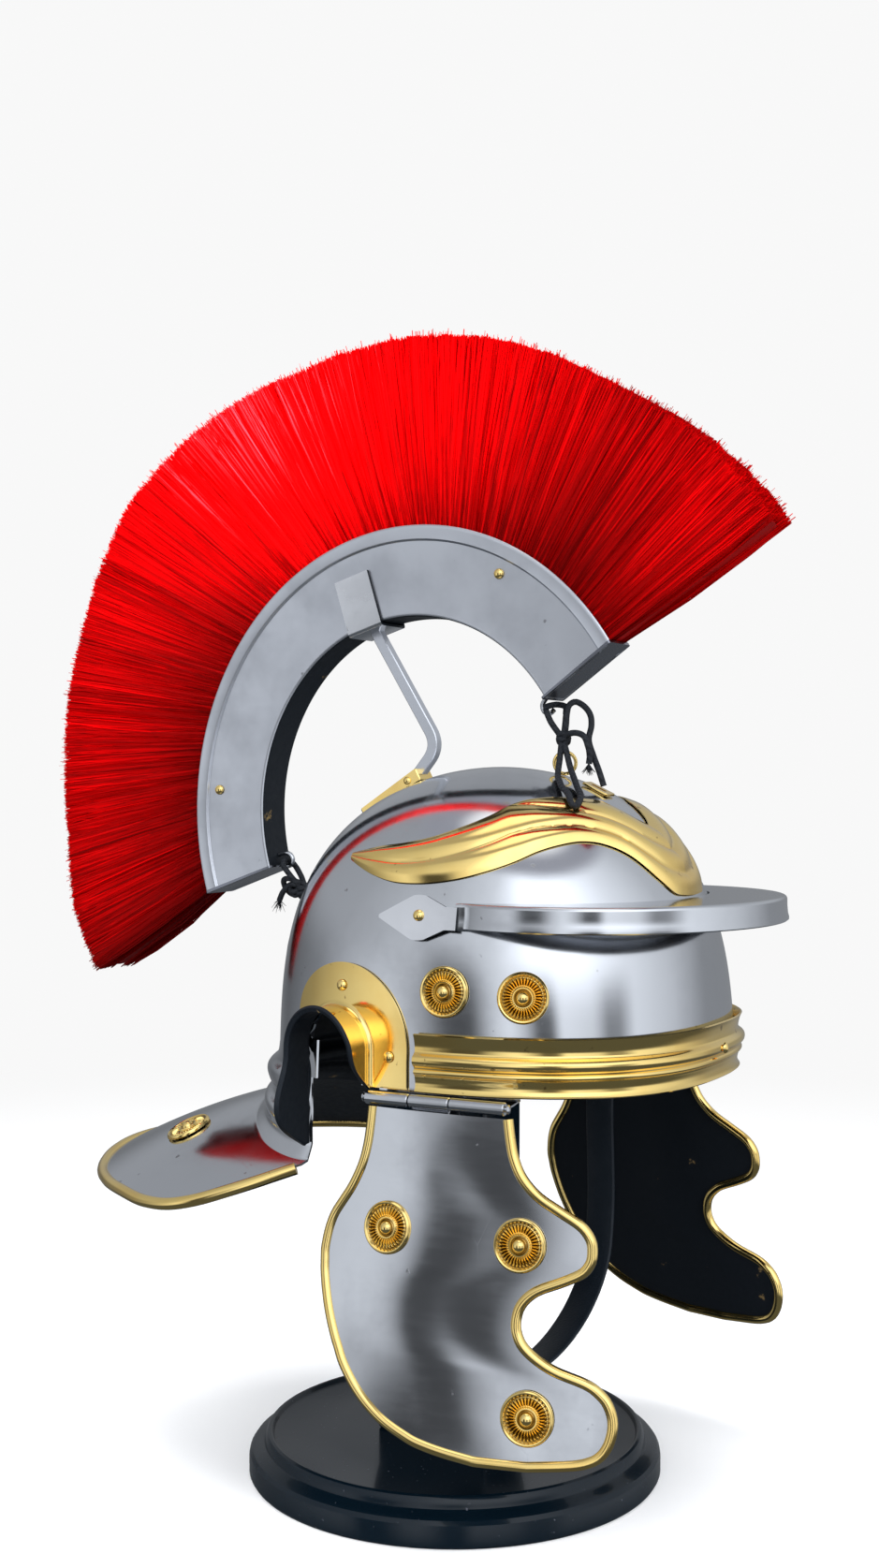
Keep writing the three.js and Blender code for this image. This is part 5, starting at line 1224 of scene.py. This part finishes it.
# The core is darker than the bristles as painted shade inside the fan, on top of the brush's painted light
# and shade.
core_painted_tone = core_painted_tone * random.uniform(0.5, 0.8, len(core.points))
piece("crest_plume_core", core, HELMET, [bristle], ["crest_plume"], tones=core_painted_tone)
for k, (low, high) in enumerate(((0, 0.34), (0.33, 0.67), (0.66, 1.0))):
    shape, tones = bristles(BRISTLES, low, high, 0.85)
    piece(f"crest_plume_bristles_{k}", shape, HELMET, [bristle], (), crease=0, tones=tones)

# %% [markdown]
# The support: a steel clip hugs the box, and a square bar bends down to a brass socket on the
# crown. In front of it are a slotted plate and a ring for the tie, and a wire hook hangs under
# each end of the box.

# %% Crest support
CLIP_TURN, CLIP_WALL = math.radians(107.2), 1.3
along_box = np.array([-math.sin(CLIP_TURN), math.cos(CLIP_TURN)])
out_box = np.array([math.cos(CLIP_TURN), math.sin(CLIP_TURN)])
under = np.array(crest(CLIP_TURN, DEEP))
half_clip = np.array([(27, 12.1), (26.6, 12.1), (-0.6, 12.1), (-1.6, 11.8), (-2.3, 11.1), (-2.5, 10.2)])
clip_profile = np.concatenate([half_clip, half_clip[::-1] * [1, -1]])
s = np.linspace(-10, 10, 5)[:, None]
f, u = (under[k] + along_box[k] * s + out_box[k] * clip_profile[None, :, 0] for k in (0, 1))
box_middle = under + 12 * out_box
clip = grid(row(f, clip_profile[None, :, 1] + 0 * f, u), away=row(box_middle[0], 0, box_middle[1]), finish=1)
plate_point, plate_normal = bowl_above(-28.0, 0.0, 0.0)
plate_ahead = unit(np.array([1.0, 0, 0]) - plate_normal[0] * plate_normal)
foot = plate_point + plate_ahead * 11 + plate_normal * 4.9
bend_at = np.array([-9.0, 0, 357.0])
head = np.array([under[0] - 1.85 * out_box[0], 0, under[1] - 1.85 * out_box[1]])
first, last = bend_at + unit(head - bend_at) * 9, bend_at + unit(foot - bend_at) * 9
t = np.linspace(0, 1, 12)[:, None]
curve = (1 - t) ** 2 * first + 2 * t * (1 - t) * bend_at + t * t * last
line = np.concatenate([head + (first - head) * np.linspace(0, 1, 6)[:-1, None], curve,
                       last + (foot - last) * np.linspace(0, 1, 5)[1:, None]])
bar = swept(row(*line.T), rounded(2.35, 2.35, 0.4, 2), (1, 0, 0))
# The clip's face takes the paler steel copy, a painted highlight; its back and its edges are black.
clip = walled(clip, CLIP_WALL, 2)
clip.finish[clip.finish == 0] = 2
piece("crest_support_bar", together([clip, bar]), HELMET, [box_steel_painted_light, painted_light_steel, inside],
      ["crest_support"], 30)


def slotted_plate(point, normal, ahead, length, width, wall, slot):
    """A small plate with rounded edges and a slot through it."""
    side = np.cross(normal, ahead)
    outer = rounded(length / 2 - 1, width / 2 - 1, 1, 5)
    inner = outer * slot / np.array([length, width])
    rings = []
    for ring, up in ((inner, 0), (outer, 0), (outer, wall - 0.3), (outer * 0.97, wall), (inner, wall),
                     (inner, 0)):
        rings.append(row(*(point + ring[:, :1] * ahead + ring[:, 1:] * side + normal * up).T))
    return outward(grid(np.stack(rings), wrap=True))


def socket():
    """A wedge of brass with softened edges: its side view is carried across, narrower at both faces."""
    side = np.array([(-23.6, 0.3), (13.6, 0.3), (14, 0.7), (14, 6.2), (13.5, 6.7), (-23.4, 3.3), (-24, 2.8),
                     (-24, 0.7)])
    middle = side.mean(axis=0)
    rings = []
    for across, size in ((-7, 0), (-7, 0.97), (-6.6, 1), (6.6, 1), (7, 0.97), (7, 0)):
        spot = middle + (side - middle) * size
        flat = plate_point + plate_ahead * spot[:, :1] + plate_normal * spot[:, 1:]
        rings.append(row(flat[:, 0], across, flat[:, 2]))
    return grid(np.stack(rings), wrap=True, away=row(*(plate_point - plate_ahead * 5 + plate_normal * 2)))


piece("crest_slot_plate_socket", socket(), HELMET, [brass], ["crest_slot_plate"], 30)
stud = plate_point + plate_ahead * 7 + plate_normal * 3.2
piece("crest_slot_plate_stud", rivet(row(stud[0], -7.0, stud[2]), (-1, 0, 0), 0.8), HELMET, [brass],
      ["crest_slot_plate_rivet"], 30)
crown_point, crown_normal = bowl_above(78.0, -1.0, 0.3)
crown_ahead = unit(np.array([1.0, 0, 0]) - crown_normal[0] * crown_normal)
crown_plate = slotted_plate(crown_point, crown_normal, crown_ahead, 14, 10, 1.2, (8, 3))
piece("crown_plate_sheet", crown_plate, HELMET, [brass], ["crown_plate"], 30)
ring_at, _ = bowl_above(58.0, 1.6, 6.2)
turn = np.linspace(0, 2 * math.pi, 49)
ring_aim = np.array([[math.cos(0.5), math.sin(0.5), 0], [0, 0, 1]])
ring_path = row(*(ring_at + 5.2 * np.stack([np.cos(turn), np.sin(turn)], axis=1) @ ring_aim).T)
tie_ring = swept(ring_path, circle(0.9, 10), (0.5, 0.86, 0.01))
piece("tie_ring_wire", tie_ring, HELMET, [brass], ["tie_ring"])


def hook(turn, lean):
    """A wire hook under an end of the box: straight in, then curled round."""
    root = np.array(crest(turn, DEEP))
    down = unit(np.array([ARCH_F, ARCH_U]) - root)
    side = np.array([-down[1], down[0]])
    spots = np.array([(0, 0.3), (0, 3.3), (1.5, 6.8), (4.5, 7.8), (7, 5.8), (7, 3.1)])
    flat = root + side * spots[:, :1] * lean + down * spots[:, 1:]
    path = along(np.stack([flat[:, 0], 0 * flat[:, 0], flat[:, 1]], 1), 30)
    return swept(row(*path.T), circle(1.2, 12), (1, 0, 0))


piece("crest_hook_front_wire", hook(START + 0.03, 1), HELMET, [steel], ["crest_hook_front"])
piece("crest_hook_rear_wire", hook(END - 0.07, -1), HELMET, [steel], ["crest_hook_rear"])

# %% [markdown]
# The chin strap is one loop of black leather with thinned edges, hung from both sides inside the
# bowl. Its lower half is half an ellipse.

# %% Chin strap
wall_in = float(bowl_side(41.0, 233.0)) - SHEET - GAP - 1.1 - 1.6
half_strap = [(wall_in, 241), (wall_in, 231), (wall_in - 3.5, 213), (86, 195), (85, 170)]
bottom = [(85 * math.cos(k), 105 - 50 * math.sin(k)) for k in np.linspace(0, math.pi, 13)]
strap_route = half_strap + bottom + [(-y, z) for y, z in half_strap[::-1]]
strap_path = row(*along([(41, y, z) for y, z in strap_route], 150).T)
strap_section = [(7.75, 0), (7.5, 0.7), (6.6, 1.05), (-6.6, 1.05), (-7.5, 0.7), (-7.75, 0), (-7.5, -0.7),
                 (-6.6, -1.05), (6.6, -1.05), (7.5, -0.7)]
strap = swept(strap_path, strap_section, (0, 1, 0))
piece("chin_strap_leather", strap, HELMET, [leather], ["chin_strap"], 0)

# %% [markdown]
# The stand is wood sprayed black: a turned base, a planed post with rounded edges, and the head
# block under the bowl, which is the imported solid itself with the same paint.

# %% Stand
BASE = [  # radius, height
    (0, 0), (99.2, 0), (100.8, 0.5), (101.6, 1.8), (101.6, 8.5), (101.2, 10.8), (99.9, 12.6), (97.6, 13.9),
    (95.2, 14.6), (94.1, 15.3), (93.7, 16.6), (93.3, 18.6), (92.4, 20.0), (91.2, 20.6), (90.2, 20.3),
    (89.6, 19.3), (89.2, 18.6), (88.6, 18.4), (60, 18.4), (0, 18.4)]
base = turned(BASE, (0, 0, 0), (0, 0, 1), 180)
piece("stand_base_turned", base, HELMET, [gloss], ["stand_base"], 24)
low, high = 18.7, 262.3
outline = rounded(27.5, 17.5, 2.5, 6)
rings = np.stack([row(-3 + outline[:, 0] * size, outline[:, 1] * size, up) for size, up in
                  ((0, low), (0.98, low), (1, low + 0.8), (1, high - 0.8), (0.98, high), (0, high))])
post = grid(rings, wrap=True, away=row(-3, 0, (low + high) / 2))
piece("stand_post_planed", post, HELMET, [gloss], ["stand_post"], 24)
head_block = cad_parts["stand_head_block"]
head_block.data.materials.clear()
head_block.data.materials.append(gloss)

# %% [markdown]
# The floor is a pale sweep that runs into the background, and four area lights shape the matt
# things. The metal mirrors neither the floor nor the lights: what it sees comes with the world.

# %% Studio
FLOOR_WHITE = (0.94, 0.94, 0.94)
mesh = bpy.data.meshes.new("floor")
mesh.from_pydata([(-9, -9, 0), (9, -9, 0), (9, 9, 0), (-9, 9, 0)], [], [(0, 1, 2, 3)])
sweep = Finish("floor_sweep", Roughness=0.7, Emission_Strength=1.0)
distance = sweep.node("ShaderNodeVectorMath", {0: sweep.place}, out="Value", operation="LENGTH")
far = sweep.between(distance, 0.16, 0.75) * 0.6 + sweep.between(distance, 0.5, 1.3) * 0.4
speck = sweep.noise(8, 3)
sweep.set(Base_Color=sweep.mix(far, (0.84, 0.84, 0.845), (0, 0, 0)), Specular_IOR_Level=0.0,
          Emission_Color=sweep.mix(far, (0.2, 0.2, 0.2), FLOOR_WHITE),
          Normal=sweep.bump(speck, 0.02))
mesh.materials.append(sweep.material)
floor_piece = bpy.data.objects.new("floor", mesh)
bpy.context.scene.collection.objects.link(floor_piece)
floor_piece.visible_glossy = False


def soft_light(name, place, target, size, power):
    """A white area light that is turned towards a target and that metal doesn't mirror."""
    light = bpy.data.lights.new(name, "AREA")
    light.shape, light.size, light.size_y = "RECTANGLE", *size
    light.energy = power
    obj = bpy.data.objects.new(name, light)
    obj.location = place
    x, y, z = np.array(target) - np.array(place)
    obj.rotation_euler = (math.atan2(math.hypot(x, y), -z), 0, math.atan2(y, x) - math.pi / 2)
    obj.visible_glossy = False
    bpy.context.scene.collection.objects.link(obj)


soft_light("key", (-1.5, 0.0, 0.9), (0, 0, 0.45), (0.8, 0.8), 20)
soft_light("front", (-0.9, -2.0, 0.9), (0, 0, 0.25), (0.6, 1.3), 20)
soft_light("top", (-0.2, 0.1, 2.1), (0, 0, 0.3), (1.3, 1.3), 30)
soft_light("side", (0.9, -1.7, 0.6), (0, 0, 0.3), (0.6, 1.2), 9)

# %% [markdown]
# What the metal mirrors is two rings of pale panels and dark gaps, one round the horizon and one
# higher up, under a grey ceiling with a bright middle, and a dark floor. The tables give the
# brightness by the angle from the camera, so that each streak falls where it should.

# %% What the metal mirrors
PANELS = [  # degrees from the camera, brightness
    (-180, 0.25), (-125, 0.35), (-95, 0.8), (-62, 1.1), (-50, 0.36), (-41, 0.32), (-31, 0.95), (-10, 1.2),
    (-4, 0.13), (4, 0.12), (11, 0.75), (19, 1.2), (27, 0.9), (32, 0.5), (37, 0.09), (50, 0.07), (56, 0.7),
    (62, 0.95), (80, 0.65), (105, 0.3), (140, 0.16), (180, 0.25)]
HIGH_PANELS = [(-180, 0.4), (-100, 0.7), (-60, 1.2), (-25, 1.9), (5, 1.9), (25, 1.0), (50, 0.75), (90, 0.5),
               (180, 0.4)]


def ring(table, angle):
    """A ring's colour, a little cooler than white, from the share of a turn."""
    stops = [((degrees + 180) / 360, (v * 0.93, v * 0.97, v * 1.03)) for degrees, v in table]
    return sky.node("ShaderNodeValToRGB", {"Fac": angle}, stops=stops)


world = bpy.data.worlds.new("studio")
bpy.context.scene.world = world
world.use_nodes = True
sky = Network(world.node_tree)
look = sky.node("ShaderNodeTexCoord", out="Generated")
towards_camera = sky.towards(look, (-math.sin(TURN), -math.cos(TURN), 0))
rearwards = sky.towards(look, (-math.cos(TURN), math.sin(TURN), 0))
angle = rearwards.math("ARCTAN2", rearwards, towards_camera) * (0.5 / math.pi) + 0.5
height = sky.towards(look, (0, 0, 1))
mirror = sky.mix(sky.between(height, 0.04, 0.34), ring(PANELS, angle), ring(HIGH_PANELS, angle))
mirror = sky.mix(sky.between(height, -0.45, -0.22), (0.09, 0.1, 0.11), mirror)
mirror = sky.mix(sky.between(height, 0.8, 0.88), mirror, (0.42, 0.43, 0.48))
mirror = sky.mix(sky.between(height, 0.92, 0.98), mirror, (1.5, 1.5, 1.5))
room = sky.node("ShaderNodeBackground", {"Color": mirror})
pale = sky.node("ShaderNodeBackground", {"Color": FLOOR_WHITE})
seen = sky.node("ShaderNodeLightPath", out="Is Camera Ray")
both = sky.node("ShaderNodeMixShader", {0: seen, 1: room, 2: pale})
end = sky.tree.nodes.new("ShaderNodeOutputWorld")
sky.tree.links.new(both.socket, end.inputs[0])
bpy.context.scene.view_settings.view_transform = "Standard"

# %% Sizes and finish
print("triangles", sum(made.values()), {k: v for k, v in made.items() if v > 60000})
